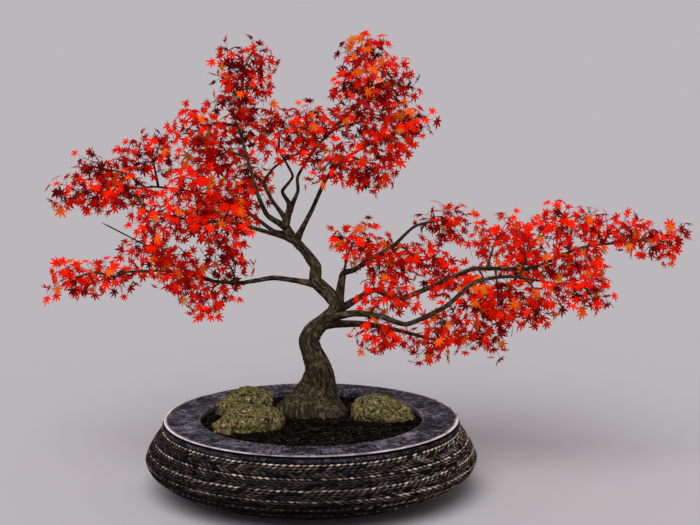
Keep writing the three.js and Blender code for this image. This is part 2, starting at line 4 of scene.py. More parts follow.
import bpy
import numpy as np
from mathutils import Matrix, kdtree


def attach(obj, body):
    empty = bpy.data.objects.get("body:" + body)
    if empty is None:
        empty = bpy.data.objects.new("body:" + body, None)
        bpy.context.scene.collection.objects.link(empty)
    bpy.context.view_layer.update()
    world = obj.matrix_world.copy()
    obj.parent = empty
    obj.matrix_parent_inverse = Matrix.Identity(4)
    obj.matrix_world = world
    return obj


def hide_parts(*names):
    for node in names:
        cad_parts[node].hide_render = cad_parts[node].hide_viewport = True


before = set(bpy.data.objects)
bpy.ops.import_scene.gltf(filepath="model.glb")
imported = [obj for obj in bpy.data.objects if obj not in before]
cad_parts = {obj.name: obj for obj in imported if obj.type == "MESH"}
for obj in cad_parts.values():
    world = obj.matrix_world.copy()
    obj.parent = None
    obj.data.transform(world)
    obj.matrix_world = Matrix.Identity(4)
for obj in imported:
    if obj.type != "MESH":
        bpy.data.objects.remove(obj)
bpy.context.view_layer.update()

# A Japanese maple bonsai with red autumn leaves in a round pot banded with twisted cord.
# Lengths are in millimetres until a mesh is made, +Z is up, and the front is -Y.
# In the values below, waves are rows of [strength, pitch, seed], a grain is [scale, detail, roughness],
# tones are rows of [position, (red, green, blue)], and a bump is [strength, depth in metres].
MM = 0.001
ALL_ROUND = 2 * math.pi
GOLDEN_TURN = math.pi * (3 - math.sqrt(5))
UP = np.array([0.0, 0.0, 1.0])
FRONT = np.array([0.0, -1.0, 0.0])
BLACK = (0, 0, 0)
WHITE = (1, 1, 1)

# Pot
POT_HEIGHT = 88
POT_BASE_RADIUS = 122
POT_WIDEST_RADIUS = 197.6
POT_WIDEST_HEIGHT = 42
POT_FLOOR = 14
POT_WALL = 16
RIM_OUTER_RADIUS = 176
RIM_INNER_RADIUS = 133
RIM_DEPTH = 9
BELLY_POWER_BELOW = 2.05
BELLY_POWER_ABOVE = 1.4
BODY_SIDES = 288
BODY_INSET = 1.6
UNDERSIDE_RADII = [20, 50, 80, 104, 116, 120.5]
WALL_BOTTOM = 1.2
WALL_TOP = 77.5
WALL_RINGS = 40
CAVITY_HEIGHTS = [58, 34, 22]
CAVITY_FLOOR_RADII = [134, 115, 85, 50, 20]
DRAIN_HOLE_RADIUS = 11
DRAIN_HOLE_OFFSET = 66
DRAIN_HOLE_SIDES = 40
BORE_MARGIN = 5
# The lip's edge: [radius past the rim's outer radius, height over the pot's top, painted light and wear].
# Over 0 is a pale painted highlight with wear, and under 0 is painted shade that makes a groove dark.
LIP_EDGE = [
    [-2, -9.2, -0.9], [0.8, -8.9, -0.8], [1.9, -8.2, -0.55], [1.9, -6.5, -0.5], [1.8, -4.9, -0.5],
    [1.2, -4.1, -0.7], [-1.2, -3.8, -1], [-2.2, -2.8, -1], [-1.6, -2.0, -0.9], [-0.2, -1.5, 0.5],
    [0.3, -1.0, 1.1], [-0.1, -0.4, 1.2], [-0.7, -0.05, 1.0], [-1.8, 0, 0.65], [-3.2, -0.1, 0.15],
    [-5, -0.1, 0],
]
# The lip's mouth: [radius past the rim's inner radius, height over the pot's top, painted highlight and
# wear]
LIP_MOUTH = [[2.5, -0.1, 0], [1.2, -0.2, 0.05], [0.4, -0.7, 0.15], [0, -1.6, 0.1], [0, -7, 0], [1, -15, 0]]
LIP_FLAT_RINGS = 22
LIP_RIPPLES = [[0.12, 9.0, 3], [0.22, 40.0, 4]]
LIP_RIPPLE_SINK = 0.1
LIP_RIPPLE_DEPTH = 0.5
# The painted highlight and wear on the lip's edge: patchy, strongest at the left and right and weakest
# behind
EDGE_HIGHLIGHT_AND_WEAR_PATCHES = [[0.6, 26.0, 5], [0.6, 7.0, 6]]
EDGE_HIGHLIGHT_AND_WEAR_MEAN = 0.75
EDGE_HIGHLIGHT_AND_WEAR_LIMITS = [0.05, 1.4]
EDGE_HIGHLIGHT_AND_WEAR_ALL_ROUND = 0.42
EDGE_HIGHLIGHT_AND_WEAR_AT_SIDES = 1.25
EDGE_HIGHLIGHT_AND_WEAR_LOST_BEHIND = 0.40

# Cords
BAND_HEIGHTS = [77.2, 64.3, 52.7, 42.0, 31.8, 22.0, 12.5]
BAND_GLOW = [1.0, 0.85, 0.8, 0.75, 0.45, 0.4, 0.3]
CORD_COLUMNS = 1050
CORD_LEVELS_ABOVE = 74
CORD_LEVELS_BELOW = 18
CORD_FOLD = 20.0
CORD_BOTTOM = 3.0
CORD_TOP_GAP = 0.5
CORD_PROFILE_STEPS = 2000
CORD_INSET = 0.6
CORD_EDGE_INSET = 3.0
CORD_UNEVENNESS = [[0.12, 2.2, 24]]
CORD_WEAR = 0.93
CORD_WEAR_PATCHES = [[0.22, 31.0, 22], [0.45, 4.0, 23]]
CORD_WEAR_LIMITS = [0.1, 1.6]
# The cords are painted paler towards this side: a painted highlight on the side facing the light
CORD_PAINTED_LIGHT_SIDE = math.radians(-25)
CORD_PAINTED_LIGHT_GAIN = 1.1
CORD_PAINTED_LIGHT_POWER = 4
# Rows of strands in a band: [below the band's height, half width, raise, lean, glow, share missing]
STRAND_ROWS = [
    [0.0, 0.95, 1.9, 1.0, 0.88, 0.05],
    [2.7, 1.1, 1.7, 1.6, 0.42, 0.12],
    [5.2, 1.0, 1.4, 1.6, 0.31, 0.15],
    [7.6, 1.0, 1.4, -1.3, 0.31, 0.2],
    [9.9, 1.0, 1.4, -1.3, 0.34, 0.2],
]
# Strands lie side by side round the pot, each row and each band turned a little from the last.
STRANDS_ROUND = 150
STRAND_WANDER = [[0.35, 17.0, 21]]
STRAND_LEAN = 0.3
STRAND_ROUNDING = 0.7
STRAND_GAP_HEIGHT = 0.2
STRAND_SEED = 25
ROW_TURN = 0.37
BAND_TURN = 0.21
MISSING_GLOW = 0.15
LEAST_GLOW = 0.45
GLOW_SPREAD = 0.75
GLOW_EDGE = 0.35

# Soil
SOIL_TOP = 81
SOIL_CROWN = 1
FIT_GAP = 0.3
SOIL_COLUMNS = 230
SOIL_RINGS = 110
SOIL_UNDERSIDE_RADII = [30, 128]
SOIL_UNDERSIDE = 2.3
SOIL_SHOULDER = 8.3
SOIL_WAVES = [[1.5, 24.0, 31], [0.9, 6.5, 32], [0.5, 2.8, 33]]
SOIL_EDGE_CALM = 10
SOIL_EDGE_REACH = 2
SOIL_EDGE_WAVES = 0.2
TRUNK_FOOT = [2, 60]
TRUNK_FOOT_RADIUS = 36
MOUND_RADIUS = 46
MOUND_HEIGHT = 3.2
GRANULES = 1500
GRANULE_SEED = 41
GRANULE_MARGIN = 4
GRANULE_SIZES = [0.8, 2.2]
GRANULE_WIDTHS = [0.7, 1.3]
GRANULE_HEIGHTS = [0.5, 0.8]
GRANULE_UNEVENNESS = 0.22
GRANULE_LIFT = 0.4
GRANULE_TONE_POWER = 2.2
FIBRES = 190
FIBRE_SEED = 43
FIBRE_SIDES = 4
FIBRE_MARGIN = 16
FIBRE_BENDS = [-0.9, 0.9]
FIBRE_LENGTHS = [7, 22]
FIBRE_STEPS = 5
FIBRE_LIFT = 1.1
FIBRE_RADIUS = 0.42
FIBRE_TAPER = 0.09
FIBRE_TONES = [0.72, 1.0]

# Rocks: [centre x, y, radius x, radius y, height above the soil, turn in degrees, lean, shoulder, seed]
# A shoulder under 1 makes a rock blocky, and one over 1 makes it pointed.
ROCKS = {
    "rock_left_front": [-76, -30, 46, 32, 27, 22, 5, 0.8, 2],
    "rock_left_back": [-82, 49, 40, 27, 29, 0, 7, 0.8, 5],
    "rock_right": [86, 17, 44, 28, 29, -10, -11, 1.15, 9],
}
ROCK_SPLITS = 5
ROCK_SEEDS = {"facets": 40, "large": 50, "small": 60, "crags": 70, "moss": 80}
ROCK_CLEARANCE = 0.8
ROCK_FACETS = 26
ROCK_FACET_DEPTHS = [0.84, 0.97]
ROCK_FACET_BITE = 0.85
ROCK_SINK = 9
ROCK_RISE = 1.04
ROCK_UNEVENNESS = 0.055
ROCK_MEAN_SIZE = 0.95
ROCK_SKIN = 1.2
# The height and the pitch of a rock's large lumps, then of its small ones
ROCK_LUMPS = [1.1, 13.0, 0.5, 3.6]
ROCK_CRAG_DEPTH = 1.7
ROCK_CRAG_WIDTH = 0.2
ROCK_CRAG_PITCH = 12.0
MOSS_MEAN = 0.5
MOSS_BY_HEIGHT = 0.4
MOSS_PATCHINESS = 0.5
MOSS_IN_CRAGS = 0.3

# Wood: each limb is a list of [x, y, z, radius] along its centre line
TRUNK_SIDES = 132
TRUNK_RINGS = 380
BRANCH_SIDES = 20
BRANCH_RING_PITCH = 2.6
CURVE_FINENESS = 24
LIMB_ROUNDING = 0.3
LIMB_END_SHARES = [0.9, 0.75, 0.55, 0.25]
COLLAR_SWELL = 0.55
COLLAR_LENGTH = 9
COLLAR_POWER = 1.5
LIMB_SEED = 61
LEAFLESS_LIMBS = ["trunk", "bare_twig"]
TRUNK_BARK_DEPTH = 0.95
BRANCH_BARK_DEPTH = 0.45
BARK_DEPTH_RADIUS = 14
BARK_WIND = 0.012
BARK_PLACE_STEP = 500.0
BARK_STRETCH = np.array([1, 1, 0.3])
BARK_WARP_STRETCH = np.array([1, 1, 2.0])
BARK_WARP = 0.9
BARK_WARP_PITCH = 4.0
BARK_RIDGE_PITCH = 2.9
BARK_RIDGE_SHARPNESS = 2.6
BARK_RIDGE_POWER = 0.8
BARK_RIDGE_SHARE = 0.62
BARK_FINE_PITCH = 1.5
BARK_FINE_CREST = 0.6
BARK_FINE_SHARE = 0.38
LUMP_STRETCH = np.array([1, 1, 0.6])
LUMP_HEIGHT = 0.045
LUMP_PITCH = 15.0
ROOT_RIDGES = 6
ROOT_RIDGE_DEPTH = 0.08
ROOT_RIDGE_TOP = 118
ROOT_RIDGE_TURN = 0.6
ROOT_FLARE = 0.02
ROOT_FLARE_FRONT = 0.11
ROOT_FLARE_RIGHT = 0.13
MUSCLE_TOP = 175
MUSCLE_FADE = 80
MUSCLE_DEPTH = 0.03
MUSCLES = 4
MUSCLE_WIND = 0.03
JOINT_DEPTH = 0.04
JOINT_PITCH = 19
JOINT_POWER = 8
LIMBS = {
    "trunk": [
        [2, 50, 64, 38], [2, 51, 82, 40.5], [4, 55, 97, 29], [7, 58, 115, 21], [8, 55, 130, 17.7],
        [5, 54, 142, 15], [-1, 52, 157, 13], [-4, 50, 170, 12.6], [1, 50, 182, 11.4],
        [12, 52, 192, 9.6], [26, 55, 204, 9], [30, 56, 215, 8.8], [20, 58, 227, 8.3], [4, 60, 243, 7.4],
        [4, 62, 260, 7], [-10, 62, 280, 5.8], [-23, 60, 295, 5.6], [-32, 58, 311, 4.9],
        [-26, 55, 334, 4.2],
    ],
    "low_left": [
        [8, 60, 238, 4.5], [-22, 56, 244, 3.3], [-48, 50, 248, 2.9], [-87, 42, 243, 2.4],
        [-118, 38, 246, 2.1], [-142, 36, 253, 1.9], [-177, 36, 259, 1.6], [-222, 32, 258, 1.3],
        [-240, 30, 249, 1],
    ],
    "left_mid": [
        [-21, 61, 292, 3.6], [-37, 50, 299, 2.8], [-74, 24, 314, 2.3], [-102, 10, 322, 2],
        [-131, 0, 323, 1.8], [-165, -8, 331, 1.4], [-196, -12, 337, 1],
    ],
    "left_upper": [
        [-27, 59, 300, 3], [-48, 72, 303, 2.4], [-79, 92, 322, 2], [-125, 106, 342, 1.7],
        [-150, 108, 347, 1.5], [-194, 100, 354, 1.3], [-222, 92, 352, 1],
    ],
    "top_left": [
        [-31, 58, 309, 3.8], [-54, 50, 325, 3], [-66, 44, 354, 2.2], [-73, 44, 380, 1.8],
        [-86, 50, 425, 1.5], [-91, 52, 438, 1.4], [-82, 56, 466, 1],
    ],
    "inner": [
        [-31, 57, 318, 3], [-51, 80, 342, 2.2], [-60, 96, 360, 1.8], [-47, 108, 378, 1.5],
        [-17, 114, 395, 1.3], [4, 112, 402, 1],
    ],
    "centre": [
        [-27, 55, 329, 2.8], [-28, 52, 340, 2.6], [-35, 40, 355, 2.1], [-22, 26, 374, 1.6],
        [-31, 18, 394, 1.4], [-39, 14, 409, 1],
    ],
    "top": [
        [-27, 55, 331, 3], [-17, 58, 353, 2], [-17, 62, 371, 1.9], [2, 68, 401, 1.8],
        [33, 74, 436, 1.6], [63, 70, 464, 1.4], [77, 64, 491, 1],
    ],
    "right_top": [
        [-20, 61, 292, 4], [-1, 50, 329, 2.6], [17, 38, 369, 2.2], [37, 30, 393, 1.9],
        [73, 28, 414, 1.5], [100, 30, 423, 1],
    ],
    "right_rise": [
        [31, 57, 214, 5.4], [34, 60, 230, 5], [37, 67, 248, 4.1], [40, 69, 252, 3.8],
        [51, 74, 254, 3.3], [68, 84, 264, 2.7], [101, 96, 282, 2.2], [127, 106, 304, 1.8],
        [166, 108, 313, 1],
    ],
    "right_upper": [
        [26, 55, 203, 5.2], [51, 76, 215, 4.1], [77, 92, 226, 3.5], [106, 98, 213, 3.2],
        [153, 94, 232, 2.9], [199, 82, 254, 2.6], [267, 68, 257, 2.1], [331, 58, 285, 1.6],
        [404, 54, 293, 1],
    ],
    "right_lower": [
        [17, 53, 197, 5.2], [51, 30, 208, 4], [82, 12, 208, 3.4], [114, 2, 200, 3], [160, -4, 223, 2.7],
        [194, 2, 251, 2.2], [237, 10, 256, 1.7], [301, 18, 245, 1],
    ],
    "right_bottom": [
        [8, 52, 190, 5.8], [38, 56, 190, 4.7], [66, 64, 188, 3.7], [108, 84, 176, 2.4],
        [159, 98, 160, 1.7], [187, 102, 163, 1.1],
    ],
    "bare_twig": [
        [-118, 38, 246, 1.8], [-146, 30, 259, 1.5], [-167, 22, 270, 1.3], [-184, 14, 286, 1.1],
        [-216, 6, 305, 0.9], [-246, 0, 322, 0.8],
    ],
}

# Sprays: [centre x, y, z, half width, half height, share of dark leaves]. A thin spray has fewer twigs.
SPRAYS = {
    "top_left_crown": [-81, 68, 504, 36, 29, 0.92],
    "top_left_front": [-84, 26, 470, 32, 28, 0.95],
    "top_crown": [65, 60, 516, 31, 26, 0.61],
    "top_front": [54, 22, 478, 30, 24, 0.66],
    "top_back": [94, 104, 478, 25, 29, 0.66],
    "upper_right_inner": [22, 0, 394, 33, 24, 0.42],
    "upper_right_front": [90, 8, 418, 33, 22, 0.43],
    "upper_right_tip": [112, 80, 437, 32, 18, 0.48],
    "upper_right_back": [58, 128, 432, 36, 27, 0.63],
    "upper_right_low": [72, 50, 378, 30, 22, 0.58],
    "heart_front": [-36, 2, 428, 28, 30, 0.42],
    "heart_right": [2, 30, 434, 28, 26, 0.42],
    "crown_gap": [-85, 92, 424, 28, 28, 0.29],
    "upper_left_tip": [-138, 25, 427, 27, 26, 0.09],
    "upper_left_middle": [-122, 80, 392, 34, 27, 0.19],
    "upper_left_front": [-130, 0, 370, 36, 24, 0.04],
    "upper_left_back": [-84, 145, 360, 32, 26, 0.29],
    "left_heart": [-92, 48, 338, 31, 22, 0.28],
    "left_far_tip": [-278, 60, 348, 36, 18, 0.74],
    "left_high_tip": [-261, 120, 373, 38, 22, 0.84],
    "left_high": [-198, 75, 398, 36, 24, 0.74],
    "left_high_front": [-220, 34, 352, 36, 20, 0.56],
    "left_mid_front": [-170, -38, 329, 38, 24, 0.32],
    "left_mid_inner": [-104, -24, 314, 36, 26, 0.32],
    "left_mid_back": [-138, 64, 322, 38, 20, 0.47],
    "low_left_back": [-190, 76, 276, 36, 20, 0.43],
    "low_left_under": [-156, 6, 258, 27, 18, 0.24],
    "low_left_hanging": [-124, 10, 228, 33, 21, 0.19],
    "low_left_inner": [-106, 88, 258, 31, 26, 0.38],
    "low_left_end": [-240, 60, 249, 30, 18, 0.06],
    "low_left_tip": [-283, 15, 254, 35, 22, 0.03],
    "right_rise_front": [51, 42, 294, 31, 25, 0.02],
    "right_rise_tip": [168, 120, 305, 33, 24, 0.80],
    "right_inner_back": [82, 134, 252, 33, 24, 0.12],
    "right_inner_front": [130, 112, 261, 34, 22, 0.02],
    "right_low_inner": [94, 46, 227, 30, 22, 0.02],
    "right_middle_inner": [173, 112, 238, 32, 20, 0.15],
    "right_upper_back": [233, 116, 289, 35, 23, 0.04],
    "right_upper_front": [272, 22, 303, 35, 23, 0.02],
    "right_upper_far": [322, 94, 311, 36, 24, 0.02],
    "right_upper_side": [363, 26, 308, 33, 21, 0.11],
    "right_upper_tip": [422, 62, 291, 35, 20, 0.31],
    "right_middle": [267, 104, 251, 33, 19, 0.37],
    "right_middle_tip": [322, 56, 264, 31, 18, 0.15],
    "right_lower_tip": [326, 5, 242, 33, 20, 0.42],
    "right_lower_front": [268, -26, 230, 34, 22, 0.42],
    "right_lower_inner": [228, 58, 210, 35, 23, 0.52],
    "right_lower_middle": [214, 44, 225, 34, 21, 0.37],
    "right_lower_hanging": [164, 24, 197, 33, 22, 0.05],
    "right_bottom_front": [82, 14, 185, 32, 18, 0.02],
    "right_bottom_end": [145, 118, 153, 36, 20, 0.02],
    "right_bottom_tip": [206, 66, 169, 36, 21, 0.02],
}
THIN_SPRAYS = [
    "low_left_tip", "low_left_end", "low_left_hanging", "low_left_inner",
    "right_rise_front", "right_rise_tip", "right_lower_hanging",
    "right_bottom_front", "right_bottom_end", "right_bottom_tip",
]
SPRAY_SEED = 100
ROOT_STATIONS = 400
ROOT_PLACES_PER_LIMB = 32
FIRST_ROOT = 0.2
LAST_ROOT = 0.98
ROOT_SPACING = 7
STEM_LEAD = 14
STEM_STATIONS = 18
STEM_RADIUS = 1.0
STEM_RADIUS_BY_REACH = 0.006
STEM_ROOT_SWELL = 0.5
STEM_NARROWING = 0.7
STEM_TIP_RADIUS = 0.4
STEM_TIP_REACH = 0.45
STEM_TIP_DROP = 2
STEM_BEND = 0.12
STEM_HEADING_FROM = 6
DIRECTION_JITTER = 0.16
TWIGS_PER_SPRAY = 9
TWIGS_PER_THIN_SPRAY = 7
TWIG_SIDES = 5
TWIG_STATIONS = 9
TWIG_REACHES = [0.6, 1.18]
TWIG_START = 0.62
TWIG_START_SPREAD = 0.3
TWIG_START_JITTER = 0.08
TWIG_START_LIMITS = [0.25, 0.97]
TWIG_BEND_UP = 0.16
TWIG_BEND_ONWARD = 0.12
TWIG_BEND_JITTER = 0.08
TWIG_RADII = [0.62, 0.3]

# Leaves. A lobe or a notch is [degrees from the middle lobe, length].
LOBES = [[-124, 0.48], [-79, 0.76], [-38, 0.93], [0, 1.0], [38, 0.93], [79, 0.76], [124, 0.48]]
NOTCHES = [
    [-158, 0.1], [-101, 0.25], [-58, 0.33], [-19, 0.37], [19, 0.37], [58, 0.33], [101, 0.25], [158, 0.1],
]
NOTCH_RISE = 0.035
NOTCH_RIB = 0.2
MIDDLE_LOBE = 3
# Points along a lobe's rib: [share of the lobe's length, nearness to a rib]
RIB_POINTS = [[0.38, 1.0], [0.70, 0.8], [1.0, 0.3]]
# Points on a lobe's edge: [share of the lobe's length, half width, rise]
EDGE_POINTS = [[0.56, 0.135, 0.03], [0.79, 0.085, 0.018]]
LEAF_RADIUS = 10.1
LEAF_SIZES = [0.8, 1.14]
LOBE_UNEVENNESS = 0.09
LEAF_DROOPS = [0.05, 0.32]
LEAF_CUPS = [-0.25, 0.3]
# How strongly a leaf faces outward, up, to the front and any way, and how far its tip hangs
LEAF_FACING = [0.5, 0.32, 0.36, 0.42]
LEAF_HANG = 0.3
LEAF_NODES = [0.42, 0.6, 0.78, 0.95]
LEAF_MISSING = 0.1
STALK_LENGTHS = [3.5, 8.5]
STALK_AHEAD = 0.55
STALK_ASIDE = 0.85
STALK_JITTER = 0.25
TIP_STALK_JITTER = 0.2
NODE_JITTER = 0.3
STALK_RADII = [0.34, 0.26]
HUB_SPACING = 12.5
HUB_PUSH = 0.22
SPREAD_ROUNDS = 6
FARTHEST_SHIFT = 9
# Colours for whole leaves, from which each leaf draws one
LEAF_COLOURS = {
    "scarlet": [1.0, 0.009, 0.002],
    "red": [0.70, 0.006, 0.003],
    "crimson": [0.33, 0.005, 0.004],
    "maroon": [0.115, 0.003, 0.003],
    "orange": [0.95, 0.120, 0.006],
    "golden": [0.66, 0.19, 0.012],
}
# The share of each colour, in the order above, where a spray is brightest and where it is darkest
BRIGHT_SHARES = np.array([0.52, 0.23, 0.10, 0.01, 0.12, 0.02])
DARK_SHARES = np.array([0.10, 0.26, 0.33, 0.28, 0.02, 0.01])
# Leaves are painted darker inside this depth of their spray and lighter outside it, as painted shade and
# light
PAINTED_LIGHT_BY_DEPTH = 0.85
PAINTED_SHADE_ZERO_DEPTH = 0.8
DARKNESS_AND_PAINTED_SHADE_LIMITS = [0.03, 0.97]
LEAF_TONES = [0.82, 1.12]
HUB_COLOUR = np.array([0.95, 0.17, 0.01])
HUB_SHARE = 0.13
HUB_SHARES = [0.2, 1.0]
STALK_SHADE = 0.6
STALK_POINTS = 6
STALK_FACES = np.array([[0, 1, 4], [0, 4, 3], [1, 2, 5], [1, 5, 4], [2, 0, 3], [2, 3, 5]])

# Finishes. Stretches are along X, Y and Z, and weights are of the parts that a finish adds up.
LEAF_MOTTLE = [420, 3, 0.6]
LEAF_MOTTLE_TONES = [[0.3, (0.74, 0.7, 0.7)], [0.7, WHITE]]
LEAF_GRAIN = [900, 2, 0.6]
LEAF_BUMP = [0.25, 0.0004]
LEAF_LIGHT_THROUGH = 0.2
BARK_WRINKLES = [560, 4, 0.65]
BARK_WRINKLE_STRETCH = (1, 1, 0.28)
BARK_GRAIN = [900, 3, 0.7]
BARK_WEIGHTS = [0.42, 0.84, 0.22]
# Bark tones by level: dark in the furrows as painted shade and pale on the crests as painted highlight,
# over the bark's own browns
BARK_TONES = [
    [0.47, (0.0052, 0.0040, 0.0021)],
    [0.64, (0.0165, 0.0126, 0.0068)],
    [0.80, (0.038, 0.0292, 0.0172)],
    [0.96, (0.140, 0.107, 0.069)],
]
BARK_PATCHES = [38, 3, 0.6]
BARK_PATCH_TONES = [[0.4, WHITE], [0.68, (0.88, 0.94, 0.78)]]
BARK_BUMP = [0.6, 0.0009]
TWIG_GRAIN = [700, 3, 0.6]
TWIG_TONES = [[0.3, (0.020, 0.011, 0.007)], [0.7, (0.070, 0.038, 0.024)]]
TWIG_BUMP = [0.3, 0.0003]
CORD_FLECKS = [650, 4, 0.7]
CORD_FLECK_LIFT = 0.5
CORD_TONES = [
    [0.0, (0.0015, 0.0014, 0.0018)],
    [0.09, (0.0062, 0.0054, 0.0056)],
    [0.24, (0.038, 0.027, 0.026)],
    [0.44, (0.18, 0.135, 0.112)],
    [0.80, (0.56, 0.46, 0.325)],
]
CORD_BUMP = [0.35, 0.0006]
# Streaks in the glaze, in noise cells: round the lip for a radian, across it and up it for a metre
STREAKS_ROUND = 62.0
STREAKS_ACROSS = 95.0
STREAKS_UP = 300.0
STREAKS_MIDDLE = 0.001
GLAZE_COMBED = [1.0, 4, 0.7]
GLAZE_TURNED = [1.0, 4, 0.75]
GLAZE_TURNED_STRETCH = (0.22, 0.22, 2.6)
GLAZE_BRUSHED_WEIGHTS = [0.55, 0.45]
GLAZE_CLOUDS = [32, 3, 0.6]
GLAZE_WEIGHTS = [0.75, 0.25]
GLAZE_TONES = [
    [0.42, (0.0018, 0.0017, 0.0032)],
    [0.475, (0.0115, 0.0103, 0.0160)],
    [0.53, (0.058, 0.051, 0.067)],
    [0.59, (0.200, 0.178, 0.210)],
]
# Near-black painted shade for the grooves under the lip's edge
GLAZE_PAINTED_GROOVE_SHADE = (0.001, 0.001, 0.0015)
GLAZE_PAINTED_HIGHLIGHT_AND_WEAR = (0.62, 0.53, 0.54)
GLAZE_HIGHLIGHT_AND_WEAR_LIFT = 0.45
GLAZE_BUMP = [0.3, 0.0006]
SOIL_CRUMBS = [420, 6, 0.75]
SOIL_CLODS = [110, 4, 0.7]
SOIL_CLOD_STRETCH = (0.7, 1.3, 1)
SOIL_WEIGHTS = [0.65, 0.35]
SOIL_TONES = [
    [0.42, (0.0002, 0.0002, 0.0002)],
    [0.52, (0.0014, 0.0011, 0.0009)],
    [0.61, (0.034, 0.0270, 0.0200)],
]
SOIL_BUMP = [0.6, 0.0012]
GRANULE_TONES = [
    [0.0, (0.0012, 0.0010, 0.0009)],
    [0.7, (0.0060, 0.0048, 0.0038)],
    [1.0, (0.032, 0.025, 0.018)],
]
GRANULE_GRAIN = [900, 3, 0.6]
GRANULE_BUMP = [0.4, 0.0004]
STONE_GRAIN = [195, 6, 0.78]
STONE_STRETCH = (1.1, 1.1, 0.7)
STONE_TONES = [
    [0.38, (0.004, 0.0035, 0.002)],
    [0.47, (0.045, 0.031, 0.017)],
    [0.55, (0.190, 0.130, 0.072)],
    [0.64, (0.560, 0.430, 0.320)],
]
STONE_BUMP = [1.0, 0.0022]
MOSS_GRAIN = [265, 6, 0.84]
MOSS_TONES = [
    [0.40, (0.005, 0.006, 0.0025)],
    [0.49, (0.066, 0.064, 0.018)],
    [0.60, (0.262, 0.242, 0.088)],
]
MOSS_PATCHES = [85, 5, 0.75]
MOSS_ON_TOP = 0.35
MOSS_EDGE = [[0.64, BLACK], [0.78, WHITE]]
# Rust and pale specks: their grain, its stretch, their edge and their colour
ROCK_SPECKS = [
    [[180, 5, 0.75], (1.3, 0.8, 1.1), [[0.55, BLACK], [0.64, WHITE]], (0.235, 0.112, 0.036)],
    [[215, 5, 0.75], (0.8, 1.2, 1.4), [[0.60, BLACK], [0.66, WHITE]], (0.52, 0.45, 0.39)],
]
ROCK_PITS = [185, 5, 0.75]
ROCK_PIT_STRETCH = (1.1, 1.4, 0.7)
ROCK_PIT_TONES = [[0.38, (0.05, 0.055, 0.05)], [0.47, WHITE]]
MESH_GRAIN = [300, 3, 0.6]
MESH_TONES = [[0.3, (0.008, 0.009, 0.008)], [0.7, (0.020, 0.022, 0.020)]]
MESH_BUMP = [0.2, 0.0003]

# Light, floor and camera. The floor's colour makes it as bright as the backdrop under both lights.
# The floor's sink and the camera's place and sight are in metres.
BACKDROP = [0.503, 0.474, 0.497]
SUN_ON_FLOOR = 0.75
SUN_TILT = math.radians(38)
SUN_TURN = math.radians(-14)
SUN_SOFTNESS = math.radians(50)
FLOOR_REACH = 40000
FLOOR_SINK = 0.0005
CAMERA_PLACE = [0.0461, -1.8696, 0.5624]
CAMERA_PITCH = math.radians(81.25)
CAMERA_LENS = 82.29
CAMERA_SIGHT = 100


# Noise

HASH_PRIMES = [73856093, 19349663, 83492791]
HASH_SEED_PRIME = 2654435761
HASH_MIXER = 1274126177


def lattice_value(cell, seed):
    """A steady number from 0 to 1 for each lattice cell."""
    x, y, z = (cell[..., axis] * HASH_PRIMES[axis] for axis in range(3))
    mixed = (x ^ y ^ z ^ seed * HASH_SEED_PRIME) & 0xFFFFFFFF
    mixed = ((mixed ^ (mixed >> 13)) * HASH_MIXER) & 0xFFFFFFFF
    mixed = mixed ^ (mixed >> 16)
    return (mixed & 0xFFFF) / 0xFFFF


def noise(points, pitch, seed):
    """Smooth noise from -1 to 1 at points, with bumps about one pitch apart."""
    place = np.asarray(points, float) / pitch
    cell = np.floor(place).astype(np.int64)
    blend = place - cell
    blend = blend * blend * (3 - 2 * blend)
    total = 0
    for corner in np.ndindex(2, 2, 2):
        weight = np.prod(np.where(np.array(corner) == 1, blend, 1 - blend), axis=-1)
        total = total + weight * lattice_value(cell + np.array(corner), seed)
    return 2 * total - 1


def rough_noise(points, pitch, seed, layers):
    """Several layers of noise, each half as large and half as strong."""
    total = 0
    for layer in range(layers):
        total = total + noise(points, pitch / 2 ** layer, seed + layer) / 2 ** layer
    return total


def waves(points, rows):
    return sum(strength * noise(points, pitch, seed) for strength, pitch, seed in rows)


# Meshes

def add_object(name, data):
    item = bpy.data.objects.new(name, data)
    bpy.context.scene.collection.objects.link(item)
    return item


def make_piece(name, points, face_groups, material, smooth=True):
    """A mesh object from points in millimetres and groups of faces with equally many corners."""
    mesh = bpy.data.meshes.new(name)
    points = np.asarray(points, np.float32).reshape(-1, 3) * MM
    corners = np.concatenate([np.asarray(group, np.int32).ravel() for group in face_groups])
    sizes = np.concatenate([np.full(len(group), np.shape(group)[1]) for group in face_groups])
    starts = np.concatenate([[0], np.cumsum(sizes)[:-1]]).astype(np.int32)
    mesh.vertices.add(len(points))
    mesh.vertices.foreach_set("co", points.ravel())
    mesh.loops.add(len(corners))
    mesh.loops.foreach_set("vertex_index", corners)
    mesh.polygons.add(len(starts))
    mesh.polygons.foreach_set("loop_start", starts)
    mesh.polygons.foreach_set("use_smooth", np.full(len(starts), smooth))
    mesh.update(calc_edges=True)
    mesh.materials.append(material)
    return add_object(name, mesh)


def paint(piece, name, values, kind="FLOAT", field="value"):
    """Stores a value for each point of a piece, for its material to read by name."""
    attribute = piece.data.attributes.new(name, kind, "POINT")
    attribute.data.foreach_set(field, np.asarray(values, np.float32).ravel())


def grid_faces(rows, columns, start=0):
    """Quads between rings of points, each ring closed on itself."""
    row = np.arange(rows - 1)[:, None] * columns + start
    column = np.arange(columns)[None, :]
    beside = (column + 1) % columns
    corners = [row + column, row + beside, row + beside + columns, row + column + columns]
    return np.stack(corners, -1).reshape(-1, 4)


def cap_faces(rows, columns, start=0):
    """One face over the first ring and one over the last, facing out."""
    first = np.arange(columns)[::-1][None, :] + start
    last = np.arange(columns)[None, :] + start + (rows - 1) * columns
    return np.concatenate([first, last])


def repeated_faces(faces, count, points_each, start=0):
    """The faces of one form for each of its copies, whose points follow each other."""
    steps = np.arange(count) * points_each + start
    return (faces[None] + steps[:, None, None]).reshape(-1, faces.shape[1])


